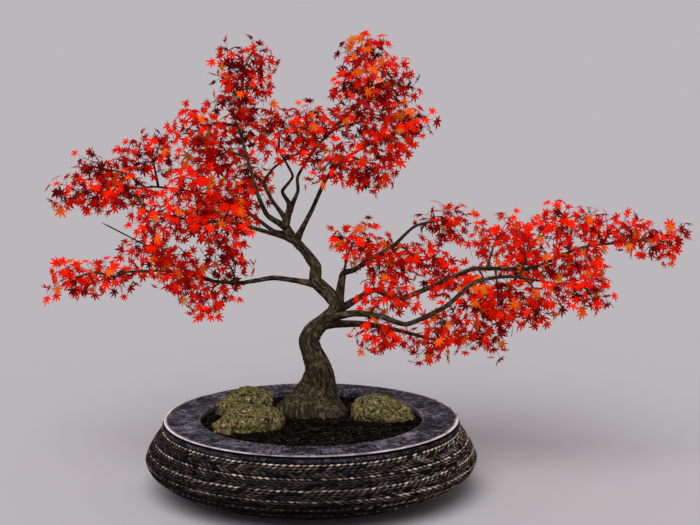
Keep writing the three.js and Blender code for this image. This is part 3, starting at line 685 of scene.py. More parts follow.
def closed_faces(rows, columns):
    return [grid_faces(rows, columns), cap_faces(rows, columns)]


def finish_piece(piece, slot, *nodes):
    """The piece rides with the model and stands for the nodes named, which it hides; its slot is not used.
    """
    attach(piece, "root")
    if nodes:
        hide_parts(*nodes)


def unit(vectors):
    vectors = np.asarray(vectors, float)
    return vectors / np.maximum(np.linalg.norm(vectors, axis=-1, keepdims=True), 1e-9)


def turned_flat(x, y, angle):
    """Two coordinates turned by an angle."""
    return x * math.cos(angle) - y * math.sin(angle), x * math.sin(angle) + y * math.cos(angle)


def ring_angles(count):
    return np.arange(count) * ALL_ROUND / count


def smooth_curve(stations, count):
    """Stations along a Catmull-Rom curve, evenly spaced by length."""
    control = np.array(stations, float)
    padded = np.vstack([2 * control[0] - control[1], control, 2 * control[-1] - control[-2]])
    share = np.linspace(0, len(control) - 1, CURVE_FINENESS * len(control))
    span = np.minimum(share.astype(int), len(control) - 2)
    t = (share - span)[:, None]
    before, start, end, after = (padded[span + i] for i in range(4))
    leave = LIMB_ROUNDING * (end - before)
    arrive = LIMB_ROUNDING * (after - start)
    fine = start + leave * t
    fine = fine + (3 * (end - start) - 2 * leave - arrive) * t ** 2
    fine = fine + (2 * (start - end) + leave + arrive) * t ** 3
    steps = np.linalg.norm(np.diff(fine[:, :3], axis=0), axis=1)
    length = np.concatenate([[0], np.cumsum(steps)])
    even = np.linspace(0, length[-1], count)
    return np.stack([np.interp(even, length, fine[:, i]) for i in range(fine.shape[1])], 1)


def carried_frames(points):
    """Normals and binormals along a line of points, turning as little as they can."""
    tangents = unit(np.gradient(points, axis=0))
    nearly_along_x = abs(tangents[0][0]) > 0.9
    normal = np.array([0.0, 1.0, 0.0]) if nearly_along_x else np.array([1.0, 0.0, 0.0])
    normals = []
    for tangent in tangents:
        normal = unit(normal - tangent * np.dot(normal, tangent))
        normals.append(normal)
    normals = np.array(normals)
    return normals, np.cross(tangents, normals)


def tube(stations, sides, raised=0.0):
    """Rings of points round a line of [x, y, z, radius], raised above it by one number a point."""
    points = stations[:, :3]
    normals, binormals = carried_frames(points)
    angles = ring_angles(sides)[None, :, None]
    outward = np.cos(angles) * normals[:, None, :] + np.sin(angles) * binormals[:, None, :]
    radius = np.repeat(stations[:, 3:4], sides, 1) + raised
    return points[:, None, :] + outward * radius[..., None]


def join_tubes(name, tubes, material):
    """One mesh from closed tubes, each a grid of rings of points."""
    sizes = [rings.shape[:2] for rings in tubes]
    starts = np.cumsum([0] + [levels * sides for levels, sides in sizes])
    faces = [grid_faces(*size, start) for size, start in zip(sizes, starts)]
    caps = [cap_faces(*size, start) for size, start in zip(sizes, starts)]
    points = np.concatenate([rings.reshape(-1, 3) for rings in tubes])
    return make_piece(name, points, faces + caps, material)


# Materials

class Surface:
    """A material with a Principled shader, and short calls that add nodes to it."""

    def __init__(self, name, roughness, specular):
        self.material = bpy.data.materials.new(name)
        self.material.use_nodes = True
        self.tree = self.material.node_tree
        self.shader = self.tree.nodes["Principled BSDF"]
        self.shader.inputs["Roughness"].default_value = roughness
        self.shader.inputs["Specular IOR Level"].default_value = specular

    def put(self, value, socket):
        """Links a node's output to a socket, or sets the socket to a number or a colour."""
        if isinstance(value, bpy.types.NodeSocket):
            self.tree.links.new(value, socket)
        elif socket.type == "RGBA":
            socket.default_value = (*value, 1)
        else:
            socket.default_value = value

    def add(self, kind, inputs, **settings):
        node = self.tree.nodes.new(kind)
        for key, value in settings.items():
            setattr(node, key, value)
        for key, value in inputs.items():
            self.put(value, node.inputs[key])
        return node

    def metres(self):
        """The point's place on the object in metres."""
        return self.add("ShaderNodeTexCoord", {}).outputs["Object"]

    def stretched(self, vector, scale):
        return self.add("ShaderNodeMapping", {"Vector": vector, "Scale": scale}).outputs["Vector"]

    def painted(self, name, output="Fac"):
        return self.add("ShaderNodeAttribute", {}, attribute_name=name).outputs[output]

    def noise(self, grain, stretch=(1, 1, 1), vector=None):
        scale, detail, roughness = grain
        place = self.stretched(vector or self.metres(), stretch)
        inputs = {"Vector": place, "Scale": scale, "Detail": detail, "Roughness": roughness}
        return self.add("ShaderNodeTexNoise", inputs).outputs["Fac"]

    def math(self, operation, a, b=0.0, clamp=False):
        return self.add("ShaderNodeMath", {0: a, 1: b}, operation=operation, use_clamp=clamp).outputs[0]

    def weighed(self, values, weights):
        """The sum of values times their weights."""
        parts = [self.math("MULTIPLY", value, weight) for value, weight in zip(values, weights)]
        total = parts[0]
        for part in parts[1:]:
            total = self.math("ADD", total, part)
        return total

    def ramp(self, value, tones):
        node = self.add("ShaderNodeValToRGB", {"Fac": value})
        elements = node.color_ramp.elements
        while len(elements) < len(tones):
            elements.new(0.5)
        for element, (position, colour) in zip(elements, tones):
            element.position = position
            element.color = (*colour, 1)
        return node.outputs["Color"]

    def mix(self, share, a, b, blend="MIX"):
        inputs = {0: share, 6: a, 7: b}
        return self.add("ShaderNodeMix", inputs, data_type="RGBA", blend_type=blend).outputs[2]

    def finished(self, colour, height, bump):
        """The material, once it has its colour and its bump."""
        strength, depth = bump
        bumped = self.add("ShaderNodeBump", {"Height": height, "Strength": strength, "Distance": depth})
        self.put(colour, self.shader.inputs["Base Color"])
        self.put(bumped.outputs["Normal"], self.shader.inputs["Normal"])
        return self.material

    def grained(self, grain, tones, bump):
        """A plain finish: one grain gives both its tones and its bump."""
        height = self.noise(grain)
        return self.finished(self.ramp(height, tones), height, bump)


def leaf_material():
    surface = Surface("leaf_scarlet_to_maroon", 0.7, 0.0)
    mottle = surface.ramp(surface.noise(LEAF_MOTTLE), LEAF_MOTTLE_TONES)
    tinted = surface.mix(1.0, surface.painted("leaf_colour", "Color"), mottle, "MULTIPLY")
    through = surface.add("ShaderNodeBsdfTranslucent", {"Color": tinted}).outputs[0]
    reflected = surface.shader.outputs[0]
    share = surface.add("ShaderNodeMixShader", {"Fac": LEAF_LIGHT_THROUGH, 1: reflected, 2: through})
    surface.put(share.outputs[0], surface.tree.nodes["Material Output"].inputs["Surface"])
    return surface.finished(tinted, surface.noise(LEAF_GRAIN), LEAF_BUMP)


def bark_material():
    """Brown bark with dark furrows of painted shade and pale crests of painted highlight, fine wrinkles
    that follow the limb, and olive patches.
    """
    surface = Surface("bark_ridged_brown_olive", 0.9, 0.05)
    place = surface.painted("bark_place", "Vector")
    wrinkles = surface.noise(BARK_WRINKLES, BARK_WRINKLE_STRETCH, place)
    parts = [surface.painted("bark_height"), wrinkles, surface.noise(BARK_GRAIN)]
    ridges = surface.ramp(surface.weighed(parts, BARK_WEIGHTS), BARK_TONES)
    patches = surface.ramp(surface.noise(BARK_PATCHES), BARK_PATCH_TONES)
    return surface.finished(surface.mix(1.0, ridges, patches, "MULTIPLY"), wrinkles, BARK_BUMP)


def twig_material():
    return Surface("twig_brown", 0.8, 0.06).grained(TWIG_GRAIN, TWIG_TONES, TWIG_BUMP)


def cord_material():
    surface = Surface("pot_cord_black_worn_bone", 0.7, 0.02)
    flecks = surface.noise(CORD_FLECKS)
    lifted = surface.math("ADD", flecks, CORD_FLECK_LIFT)
    level = surface.math("MULTIPLY", surface.painted("wear_and_painted_light"), lifted)
    return surface.finished(surface.ramp(level, CORD_TONES), flecks, CORD_BUMP)


def glaze_material():
    """Dark blue-grey glaze, streaked across the lip, with a pale painted highlight and wear on its edge
    and painted shade, near black, in its grooves.
    """
    surface = Surface("pot_glaze_blue_grey", 0.65, 0.05)
    x, y, z = surface.add("ShaderNodeSeparateXYZ", {"Vector": surface.metres()}).outputs
    radius = surface.math("SQRT", surface.weighed([x, y], [x, y]))
    radius = surface.math("MAXIMUM", radius, STREAKS_MIDDLE)
    streaked = surface.add("ShaderNodeCombineXYZ", {
        "X": surface.math("MULTIPLY", surface.math("DIVIDE", x, radius), STREAKS_ROUND),
        "Y": surface.math("MULTIPLY", surface.math("DIVIDE", y, radius), STREAKS_ROUND),
        "Z": surface.weighed([radius, z], [STREAKS_ACROSS, STREAKS_UP]),
    }).outputs[0]
    combed = surface.noise(GLAZE_COMBED, vector=streaked)
    turned = surface.noise(GLAZE_TURNED, GLAZE_TURNED_STRETCH, streaked)
    brushed = surface.weighed([combed, turned], GLAZE_BRUSHED_WEIGHTS)
    clouds = surface.noise(GLAZE_CLOUDS)
    glaze = surface.ramp(surface.weighed([brushed, clouds], GLAZE_WEIGHTS), GLAZE_TONES)
    wear_and_painted_light = surface.painted("wear_and_painted_light")
    # Painted shade: the grooves turn near black
    shaded = surface.mix(surface.math("ADD", wear_and_painted_light, 1.0, clamp=True), GLAZE_PAINTED_GROOVE_SHADE, glaze)
    # Painted highlight with wear: the lip's edge turns pale
    lip_wear_and_painted_light = surface.math("MULTIPLY", wear_and_painted_light, surface.math("ADD", clouds, GLAZE_HIGHLIGHT_AND_WEAR_LIFT), clamp=True)
    return surface.finished(surface.mix(lip_wear_and_painted_light, shaded, GLAZE_PAINTED_HIGHLIGHT_AND_WEAR), brushed, GLAZE_BUMP)


def soil_material():
    surface = Surface("soil_dark_granular", 0.95, 0.0)
    clods = surface.noise(SOIL_CLODS, SOIL_CLOD_STRETCH)
    fine = surface.weighed([surface.noise(SOIL_CRUMBS), clods], SOIL_WEIGHTS)
    return surface.finished(surface.ramp(fine, SOIL_TONES), fine, SOIL_BUMP)


def granule_material():
    surface = Surface("soil_granule", 0.9, 0.04)
    colour = surface.ramp(surface.painted("tone"), GRANULE_TONES)
    return surface.finished(colour, surface.noise(GRANULE_GRAIN), GRANULE_BUMP)


def rock_material():
    """Brown stone under olive moss, with rust and pale specks and dark pits."""
    surface = Surface("rock_mossy", 0.95, 0.03)
    grain = surface.noise(STONE_GRAIN, STONE_STRETCH)
    height = surface.math("MULTIPLY", surface.painted("moss"), MOSS_ON_TOP)
    share = surface.ramp(surface.math("ADD", surface.noise(MOSS_PATCHES), height), MOSS_EDGE)
    moss = surface.ramp(surface.noise(MOSS_GRAIN), MOSS_TONES)
    colour = surface.mix(share, surface.ramp(grain, STONE_TONES), moss)
    for speck_grain, stretch, edge, speck_colour in ROCK_SPECKS:
        specks = surface.ramp(surface.noise(speck_grain, stretch), edge)
        colour = surface.mix(specks, colour, speck_colour)
    pits = surface.ramp(surface.noise(ROCK_PITS, ROCK_PIT_STRETCH), ROCK_PIT_TONES)
    return surface.finished(surface.mix(1.0, colour, pits, "MULTIPLY"), grain, STONE_BUMP)


def screen_material():
    return Surface("drain_screen_black_plastic", 0.45, 0.5).grained(MESH_GRAIN, MESH_TONES, MESH_BUMP)


def floor_material():
    surface = Surface("floor_pale", 0.9, 0.0)
    shade = [light / (light + SUN_ON_FLOOR) for light in BACKDROP]
    surface.put(shade, surface.shader.inputs["Base Color"])
    return surface.material


# Pot

def wall_radius(height):
    """The wall's radius without its cords: two curves that meet upright at the widest height."""
    height = np.asarray(height, float)
    below = height < POT_WIDEST_HEIGHT
    narrowest = np.where(below, POT_BASE_RADIUS, RIM_OUTER_RADIUS)
    reach = np.where(below, POT_WIDEST_HEIGHT, POT_HEIGHT - RIM_DEPTH - POT_WIDEST_HEIGHT)
    power = np.where(below, BELLY_POWER_BELOW, BELLY_POWER_ABOVE)
    share = np.abs(height - POT_WIDEST_HEIGHT) / reach
    return POT_WIDEST_RADIUS - (POT_WIDEST_RADIUS - narrowest) * share ** power


def wall_profile(heights, inset):
    return [[float(wall_radius(height)) - inset, height] for height in heights]


def turned_points(profile, sides):
    """Rings of points where a profile of [radius, height] is turned about Z."""
    angles = ring_angles(sides)
    profile = np.asarray(profile, float)
    x = profile[:, :1] * np.cos(angles)
    y = profile[:, :1] * np.sin(angles)
    z = np.repeat(profile[:, 1:2], sides, 1)
    return np.stack([x, y, z], -1)


def lip_profile():
    """The lip from under its edge band over the top into the mouth, as [radius, height, wear]."""
    edge = np.array(LIP_EDGE) + [RIM_OUTER_RADIUS, POT_HEIGHT, 0]
    mouth = np.array(LIP_MOUTH) + [RIM_INNER_RADIUS, POT_HEIGHT, 0]
    flat = np.linspace(edge[-1], mouth[0], LIP_FLAT_RINGS)
    return np.concatenate([edge, flat[1:-1], mouth])


def make_pot_body():
    """The whole pot as one closed form under its cords, with two bored drain holes."""
    underside = [[radius, 0, 0] for radius in UNDERSIDE_RADII]
    heights = np.linspace(WALL_BOTTOM, WALL_TOP, WALL_RINGS)
    wall = [[*row, 0] for row in wall_profile(heights, BODY_INSET)]
    cavity = [[*row, 0] for row in wall_profile(CAVITY_HEIGHTS, POT_WALL)]
    floor = [[radius, POT_FLOOR, 0] for radius in CAVITY_FLOOR_RADII]
    profile = np.concatenate([underside, wall, lip_profile(), cavity, floor])
    points = turned_points(profile, BODY_SIDES)
    tops = points[..., 2] > POT_HEIGHT - LIP_RIPPLE_DEPTH
    points[..., 2] += np.where(tops, waves(points, LIP_RIPPLES) - LIP_RIPPLE_SINK, 0)
    # The lip's edge gets a pale painted highlight with wear, strongest at the sides, and its grooves keep
    # their painted shade
    patchy = np.clip(EDGE_HIGHLIGHT_AND_WEAR_MEAN + waves(points, EDGE_HIGHLIGHT_AND_WEAR_PATCHES), *EDGE_HIGHLIGHT_AND_WEAR_LIMITS)
    angles = ring_angles(BODY_SIDES)
    behind = np.clip(np.sin(angles), 0, 1)
    edge_highlight_by_side = EDGE_HIGHLIGHT_AND_WEAR_ALL_ROUND + EDGE_HIGHLIGHT_AND_WEAR_AT_SIDES * np.cos(angles) ** 2 - EDGE_HIGHLIGHT_AND_WEAR_LOST_BEHIND * behind
    lip_wear_and_painted_light = profile[:, 2:]
    lip_wear_and_painted_light = np.where(lip_wear_and_painted_light > 0, lip_wear_and_painted_light * patchy * edge_highlight_by_side, lip_wear_and_painted_light)
    body = make_piece("pot_body", points, closed_faces(len(profile), BODY_SIDES), glaze_material())
    paint(body, "wear_and_painted_light", lip_wear_and_painted_light)
    for x in (-DRAIN_HOLE_OFFSET, DRAIN_HOLE_OFFSET):
        cut_bore(body, x)
    finish_piece(body, "pot", "pot")


def cut_bore(body, x):
    """Cuts a drain hole through the pot's floor."""
    profile = [[DRAIN_HOLE_RADIUS, -BORE_MARGIN], [DRAIN_HOLE_RADIUS, POT_FLOOR + BORE_MARGIN]]
    points = turned_points(profile, DRAIN_HOLE_SIDES) + np.array([x, 0, 0])
    cutter = make_piece("bore", points, closed_faces(2, DRAIN_HOLE_SIDES), body.data.materials[0])
    modifier = body.modifiers.new("bore", "BOOLEAN")
    modifier.operation = "DIFFERENCE"
    modifier.solver = "EXACT"
    modifier.object = cutter
    shaped = body.evaluated_get(bpy.context.evaluated_depsgraph_get())
    mesh = bpy.data.meshes.new_from_object(shaped)
    body.modifiers.clear()
    body.data = mesh
    bpy.data.objects.remove(cutter)


def cord_levels():
    """Heights of the cord skin's levels: close together above the wall's fold, wider apart below."""
    top = POT_HEIGHT - RIM_DEPTH - CORD_TOP_GAP
    heights = np.linspace(CORD_BOTTOM, top, CORD_PROFILE_STEPS)
    radii = wall_radius(heights)
    along = np.concatenate([[0], np.cumsum(np.hypot(np.diff(heights), np.diff(radii)))])
    fold = np.interp(CORD_FOLD, heights, along)
    below = np.linspace(0, fold, CORD_LEVELS_BELOW, endpoint=False)
    above = np.linspace(fold, along[-1], CORD_LEVELS_ABOVE)
    return np.interp(np.concatenate([below, above]), along, heights)


def strand_relief(angles, heights):
    """How far the cords stand out, and how worn they are, over a grid of angles and heights."""
    raised = np.zeros((len(heights), len(angles)))
    wear_and_painted_light = np.zeros_like(raised)
    places = turned_points(np.stack([wall_radius(heights), heights], 1), len(angles))
    wander = waves(places, STRAND_WANDER)
    turns = angles[None, :] * STRANDS_ROUND / ALL_ROUND
    for band, centre in enumerate(BAND_HEIGHTS):
        twist = 1 if band % 2 == 0 else -1
        for row, (below, half, height, lean, glow, missing) in enumerate(STRAND_ROWS):
            across = (heights[:, None] - (centre - below + wander)) / half
            dome = np.sqrt(np.clip(1 - across ** 2, 0, 1))
            phase = turns + ROW_TURN * row + BAND_TURN * band - lean * twist * across * STRAND_LEAN
            strand = np.abs(np.cos(math.pi * phase)) ** STRAND_ROUNDING
            ridge = STRAND_GAP_HEIGHT + (1 - STRAND_GAP_HEIGHT) * strand
            raised = np.maximum(raised, height * dome * ridge)
            index = np.round(phase).astype(np.int64) % STRANDS_ROUND
            draw = lattice_value(np.stack([index, 0 * index + row, 0 * index + band], -1), STRAND_SEED)
            present = np.where(draw < missing, MISSING_GLOW, LEAST_GLOW + GLOW_SPREAD * draw)
            lit = np.clip((1 + GLOW_EDGE) * strand - GLOW_EDGE, 0, 1)
            wear_and_painted_light = np.maximum(wear_and_painted_light, glow * BAND_GLOW[band] * present * dome ** STRAND_ROUNDING * lit)
    return raised, wear_and_painted_light, places


def make_pot_cords():
    """The skin of twisted cords wound round the pot's wall, standing out along the wall's normal."""
    angles = ring_angles(CORD_COLUMNS)
    heights = cord_levels()
    raised, wear_and_painted_light, places = strand_relief(angles, heights)
    wear_and_painted_light = wear_and_painted_light * np.clip(CORD_WEAR + waves(places, CORD_WEAR_PATCHES), *CORD_WEAR_LIMITS)
    # Painted highlight: the cords turn paler towards the right front
    painted_side_light = np.clip(np.cos(angles - CORD_PAINTED_LIGHT_SIDE), 0, 1) ** CORD_PAINTED_LIGHT_POWER
    wear_and_painted_light = wear_and_painted_light * (1 + CORD_PAINTED_LIGHT_GAIN * painted_side_light)
    radii = wall_radius(heights)
    slope = np.gradient(radii, heights)
    outward = (1 / np.hypot(1, slope))[:, None]
    downward = (-slope / np.hypot(1, slope))[:, None]
    lift = raised - CORD_INSET + waves(places, CORD_UNEVENNESS)
    lift[[0, -1]] = -CORD_EDGE_INSET
    radius = radii[:, None] + lift * outward
    z = heights[:, None] + lift * downward
    points = np.stack([radius * np.cos(angles), radius * np.sin(angles), z], -1)
    cords = make_piece("pot_cords", points, [grid_faces(len(heights), CORD_COLUMNS)], cord_material())
    paint(cords, "wear_and_painted_light", wear_and_painted_light)
    finish_piece(cords, "pot", "pot")


# Soil

def from_trunk(x, y):
    return np.hypot(x - TRUNK_FOOT[0], y - TRUNK_FOOT[1])


def soil_height(x, y):
    """The height of the soil's uneven surface."""
    points = np.stack([x, y, np.zeros_like(x)], -1)
    radius = np.hypot(x, y)
    crown = SOIL_CROWN * (1 - (radius / RIM_INNER_RADIUS) ** 2)
    mound = np.exp(-((from_trunk(x, y) / MOUND_RADIUS) ** 4)) * MOUND_HEIGHT
    inside = RIM_INNER_RADIUS + SOIL_EDGE_REACH - radius
    lumps = waves(points, SOIL_WAVES) * np.clip(inside / SOIL_EDGE_CALM, SOIL_EDGE_WAVES, 1)
    return SOIL_TOP + crown + mound + lumps


def make_soil():
    outer = RIM_INNER_RADIUS - FIT_GAP
    side = wall_profile(CAVITY_HEIGHTS, POT_WALL + FIT_GAP)[::-1] + [[outer, SOIL_TOP - SOIL_SHOULDER]]
    shell = [[radius, POT_FLOOR + SOIL_UNDERSIDE] for radius in SOIL_UNDERSIDE_RADII] + side
    surface = [[radius, SOIL_TOP] for radius in np.linspace(outer, 1.0, SOIL_RINGS)]
    points = turned_points(shell + surface, SOIL_COLUMNS)
    top = points[len(shell):]
    top[..., 2] = soil_height(top[..., 0], top[..., 1])
    soil = make_piece("soil_bed", points, closed_faces(len(points), SOIL_COLUMNS), soil_material())
    finish_piece(soil, "soil", "soil")


def free_of_rocks(x, y):
    free = from_trunk(x, y) > TRUNK_FOOT_RADIUS
    for centre_x, centre_y, radius_x, radius_y, height, degrees, *rest in ROCKS.values():
        across, along = turned_flat(x - centre_x, y - centre_y, -math.radians(degrees))
        free &= (across / radius_x) ** 2 + (along / radius_y) ** 2 > ROCK_CLEARANCE
    return free


def make_granules():
    """Grains of grit lying in the soil's surface, each a squashed lump."""
    random = np.random.default_rng(GRANULE_SEED)
    reach = RIM_INNER_RADIUS - GRANULE_MARGIN
    x, y = random.uniform(-reach, reach, (2, GRANULES * 3))
    keep = (np.hypot(x, y) < reach) & free_of_rocks(x, y)
    x, y = x[keep][:GRANULES], y[keep][:GRANULES]
    corners, triangles = lump_template()
    points = []
    for cx, cy in zip(x, y):
        size = random.uniform(*GRANULE_SIZES)
        size = size * np.array([1.0, random.uniform(*GRANULE_WIDTHS), random.uniform(*GRANULE_HEIGHTS)])
        turn = random.uniform(0, ALL_ROUND)
        uneven = random.uniform(-GRANULE_UNEVENNESS, GRANULE_UNEVENNESS, (len(corners), 1))
        lump = corners * (1 + uneven) * size
        spun = np.stack([*turned_flat(lump[:, 0], lump[:, 1], turn), lump[:, 2]], 1)
        height = float(soil_height(cx, cy)) + size[2] * GRANULE_LIFT
        points.append(spun + np.array([cx, cy, height]))
    faces = repeated_faces(triangles, len(x), len(corners))
    tones = np.repeat(random.uniform(0, 1, len(x)) ** GRANULE_TONE_POWER, len(corners))
    grit = make_piece("soil_granules", np.concatenate(points), [faces], granule_material())
    paint(grit, "tone", tones)
    finish_piece(grit, "soil")


# A little more than the edges of an icosahedron of radius 1
LONGEST_EDGE = 1.2


def lump_template():
    """The points and triangles of an icosahedron of radius 1."""
    golden = (1 + math.sqrt(5)) / 2
    points = []
    for a in (-1, 1):
        for b in (-golden, golden):
            points += [[a, b, 0], [0, a, b], [b, 0, a]]
    points = unit(points)
    gaps = np.linalg.norm(points[:, None] - points[None], axis=-1)
    near = (gaps < LONGEST_EDGE) & (gaps > 0)
    triangles = []
    for i, j, k in itertools.combinations(range(len(points)), 3):
        if near[i, j] and near[j, k] and near[i, k]:
            outward = np.dot(np.cross(points[j] - points[i], points[k] - points[i]), points[i]) > 0
            triangles.append([i, j, k] if outward else [i, k, j])
    return points, np.array(triangles)


def make_fibres():
    """Thin dry needles and rootlets lying on the soil."""
    random = np.random.default_rng(FIBRE_SEED)
    tubes = []
    tones = []
    while len(tubes) < FIBRES:
        place = random.uniform(-RIM_INNER_RADIUS, RIM_INNER_RADIUS, 2)
        if math.hypot(*place) > RIM_INNER_RADIUS - FIBRE_MARGIN or not free_of_rocks(*place):
            continue
        turn = random.uniform(0, ALL_ROUND)
        bend = random.uniform(*FIBRE_BENDS)
        stride = random.uniform(*FIBRE_LENGTHS) / FIBRE_STEPS
        stations = []
        for step in range(FIBRE_STEPS + 1):
            heading = turn + bend * step / FIBRE_STEPS
            height = float(soil_height(*place)) + FIBRE_LIFT
            stations.append([*place, height, FIBRE_RADIUS * (1 - FIBRE_TAPER * step)])
            place = place + stride * np.array([math.cos(heading), math.sin(heading)])
        tubes.append(tube(np.array(stations), FIBRE_SIDES))
        tones.append(random.uniform(*FIBRE_TONES))
    fibres = join_tubes("soil_fibres", tubes, granule_material())
    paint(fibres, "tone", np.repeat(tones, (FIBRE_STEPS + 1) * FIBRE_SIDES))
    finish_piece(fibres, "soil")


# Rocks

def ball(splits):
    """The points and triangles of a ball of radius 1, from an icosahedron split a number of times."""
    points, triangles = lump_template()
    for split in range(splits):
        a, b, c = triangles.T
        edges = np.sort(np.concatenate([np.stack(pair, 1) for pair in ((a, b), (b, c), (c, a))]), 1)
        ordered, index = np.unique(edges, axis=0, return_inverse=True)
        middles = unit(points[ordered[:, 0]] + points[ordered[:, 1]])
        ab, bc, ca = (index.reshape(-1) + len(points)).reshape(3, -1)
        corners = [[a, ab, ca], [ab, b, bc], [ca, bc, c], [ab, bc, ca]]
        triangles = np.concatenate([np.stack(corner, 1) for corner in corners])
        points = np.concatenate([points, middles])
    return points, triangles


def make_rock(name, size):
    """A rock of many rough facets, in the form of a ball squashed to size and sunk a little."""
    x, y, radius_x, radius_y, height, degrees, lean, shoulder, seed = size
    random = np.random.default_rng(seed + ROCK_SEEDS["facets"])
    points, triangles = ball(ROCK_SPLITS)
    px, py, pz = points.T
    # A few waves of different lengths and directions, shifted by the seed
    swells = (
        np.sin(3.1 * px + seed) * np.cos(2.7 * py - seed)
        + 0.6 * np.sin(5.3 * py + 2 * seed + 2.2 * pz)
        + 0.5 * np.cos(6.1 * px - 3 * seed + 3 * pz)
    )
    scale = ROCK_MEAN_SIZE + ROCK_UNEVENNESS * swells
    for direction in sphere_directions(ROCK_FACETS, random):
        depth = random.uniform(*ROCK_FACET_DEPTHS)
        scale = scale * np.minimum(1, depth / np.maximum(points @ direction, 1e-3)) ** ROCK_FACET_BITE
    rise = np.where(pz > 0, height, ROCK_SINK)
    level = np.sign(pz) * np.abs(pz) ** np.where(pz > 0, shoulder, 1)
    up = level * rise * scale * ROCK_RISE
    shape = np.stack([px * radius_x * scale, py * radius_y * scale, up], 1)
    large, large_pitch, small, small_pitch = ROCK_LUMPS
    lumps = large * rough_noise(shape, large_pitch, seed + ROCK_SEEDS["large"], 3)
    lumps = lumps + small * rough_noise(shape, small_pitch, seed + ROCK_SEEDS["small"], 2)
    crags = np.abs(noise(shape, ROCK_CRAG_PITCH, seed + ROCK_SEEDS["crags"]))
    crags = -ROCK_CRAG_DEPTH * np.clip(ROCK_CRAG_WIDTH - crags, 0, 1) / ROCK_CRAG_WIDTH
    shape = shape + points * (ROCK_SKIN + lumps + crags)[:, None]
    across, along = turned_flat(shape[:, 0], shape[:, 1], math.radians(degrees))
    turned = np.stack([x + across + lean * np.maximum(pz, 0), y + along, SOIL_TOP + shape[:, 2]], 1)
    patches = MOSS_PATCHINESS * noise(shape, ROCK_CRAG_PITCH, seed + ROCK_SEEDS["moss"])
    moss = np.clip(MOSS_MEAN + MOSS_BY_HEIGHT * pz + patches - MOSS_IN_CRAGS * crags, 0, 1)
    rock = make_piece(name + "_stone", turned, [triangles], rock_material())
    paint(rock, "moss", moss)
    finish_piece(rock, "mossy_rock", name)


# Wood

def bark_places(angles, along, radius):
    """Where each point of a limb lies if the limb were straight: across, across and along, in mm."""
    wound = angles[None, :] + BARK_WIND * along[:, None]
    return np.stack([
        np.cos(wound) * radius[:, None],
        np.sin(wound) * radius[:, None],
        np.repeat(along[:, None], len(angles), 1),
    ], -1)


def bark_level(places, seed):
    """Short crooked ridges that run along a limb, from about -1 in the furrows to 1 on the crests."""
    ring = places * BARK_STRETCH
    ring = ring + BARK_WARP * noise(ring * BARK_WARP_STRETCH, BARK_WARP_PITCH, seed + 3)[..., None]
    ridge = np.abs(noise(ring, BARK_RIDGE_PITCH, seed)) ** BARK_RIDGE_POWER
    ridge = 1 - BARK_RIDGE_SHARPNESS * ridge
    fine = BARK_FINE_CREST - 2 * np.abs(noise(ring, BARK_FINE_PITCH, seed + 1))
    return BARK_RIDGE_SHARE * ridge + BARK_FINE_SHARE * fine


def trunk_swells(points, angles, along, radius):
    """Root flutes that fade out up the trunk, and slow swells above them."""
    fade = np.clip((ROOT_RIDGE_TOP - points[:, 2]) / (ROOT_RIDGE_TOP - SOIL_TOP), 0, 1)[:, None]
    flutes = ROOT_RIDGE_DEPTH * fade * np.cos(ROOT_RIDGES * angles - ROOT_RIDGE_TURN)[None, :]
    foot = ROOT_FLARE + ROOT_FLARE_FRONT * np.clip(-np.sin(angles), 0, 1)
    foot = foot + ROOT_FLARE_RIGHT * np.clip(np.cos(angles), 0, 1)
    higher = np.clip((MUSCLE_TOP - points[:, 2]) / MUSCLE_FADE, 0, 1)[:, None]
    muscles = MUSCLE_DEPTH * higher * np.sin(MUSCLES * angles[None, :] + MUSCLE_WIND * along[:, None])
    return (flutes + fade ** 3 * foot[None, :] + muscles) * radius[:, None]


def branch_swells(along, radius, seed):
    """Slight swellings where leaves once grew."""
    joints = JOINT_DEPTH * np.cos(ALL_ROUND * along / JOINT_PITCH + seed) ** JOINT_POWER
    return (joints * radius)[:, None]


def make_limb(name, stations, seed):
    """One limb's rings of points, the bark's level at each, and its place along the bark."""
    is_trunk = name == "trunk"
    rough_length = sum(math.dist(a[:3], b[:3]) for a, b in zip(stations, stations[1:]))
    line = smooth_curve(stations, TRUNK_RINGS if is_trunk else int(rough_length / BRANCH_RING_PITCH))
    along = np.linspace(0, rough_length, len(line))
    if name not in LEAFLESS_LIMBS:
        line[:, 3] *= 1 + COLLAR_SWELL * np.exp(-(along / COLLAR_LENGTH) ** COLLAR_POWER)
    line[-len(LIMB_END_SHARES):, 3] *= LIMB_END_SHARES
    sides = TRUNK_SIDES if is_trunk else BRANCH_SIDES
    angles = ring_angles(sides)
    radius = line[:, 3]
    places = bark_places(angles, along, radius)
    level = bark_level(places, seed)
    depth = TRUNK_BARK_DEPTH if is_trunk else BRANCH_BARK_DEPTH
    depth = depth * np.sqrt(radius / BARK_DEPTH_RADIUS)[:, None]
    lumps = LUMP_HEIGHT * radius[:, None] * noise(places * LUMP_STRETCH, LUMP_PITCH, seed + 2)
    swells = branch_swells(along, radius, seed)
    if is_trunk:
        swells = trunk_swells(line, angles, along, radius)
    rings = tube(line, sides, depth * level + lumps + swells)
    return rings, level, places + np.array([0, 0, BARK_PLACE_STEP * seed])


def make_wood():
    """The trunk and its limbs in one mesh, each limb rising from a collar inside what it grows from."""
    tubes = []
    levels = []
    places = []
    for index, (name, stations) in enumerate(LIMBS.items()):
        rings, level, place = make_limb(name, stations, LIMB_SEED + index)
        tubes.append(rings)
        levels.append(level.ravel())
        places.append(place.reshape(-1, 3))
    wood = join_tubes("tree_wood", tubes, bark_material())
    # The bark's level paints shade into the furrows and highlight onto the crests
    paint(wood, "bark_height", np.clip(0.5 + 0.5 * np.concatenate(levels), 0, 1))
    paint(wood, "bark_place", np.concatenate(places) * MM, "FLOAT_VECTOR", "vector")
    finish_piece(wood, "bark", "trunk_and_branches")


# Sprays

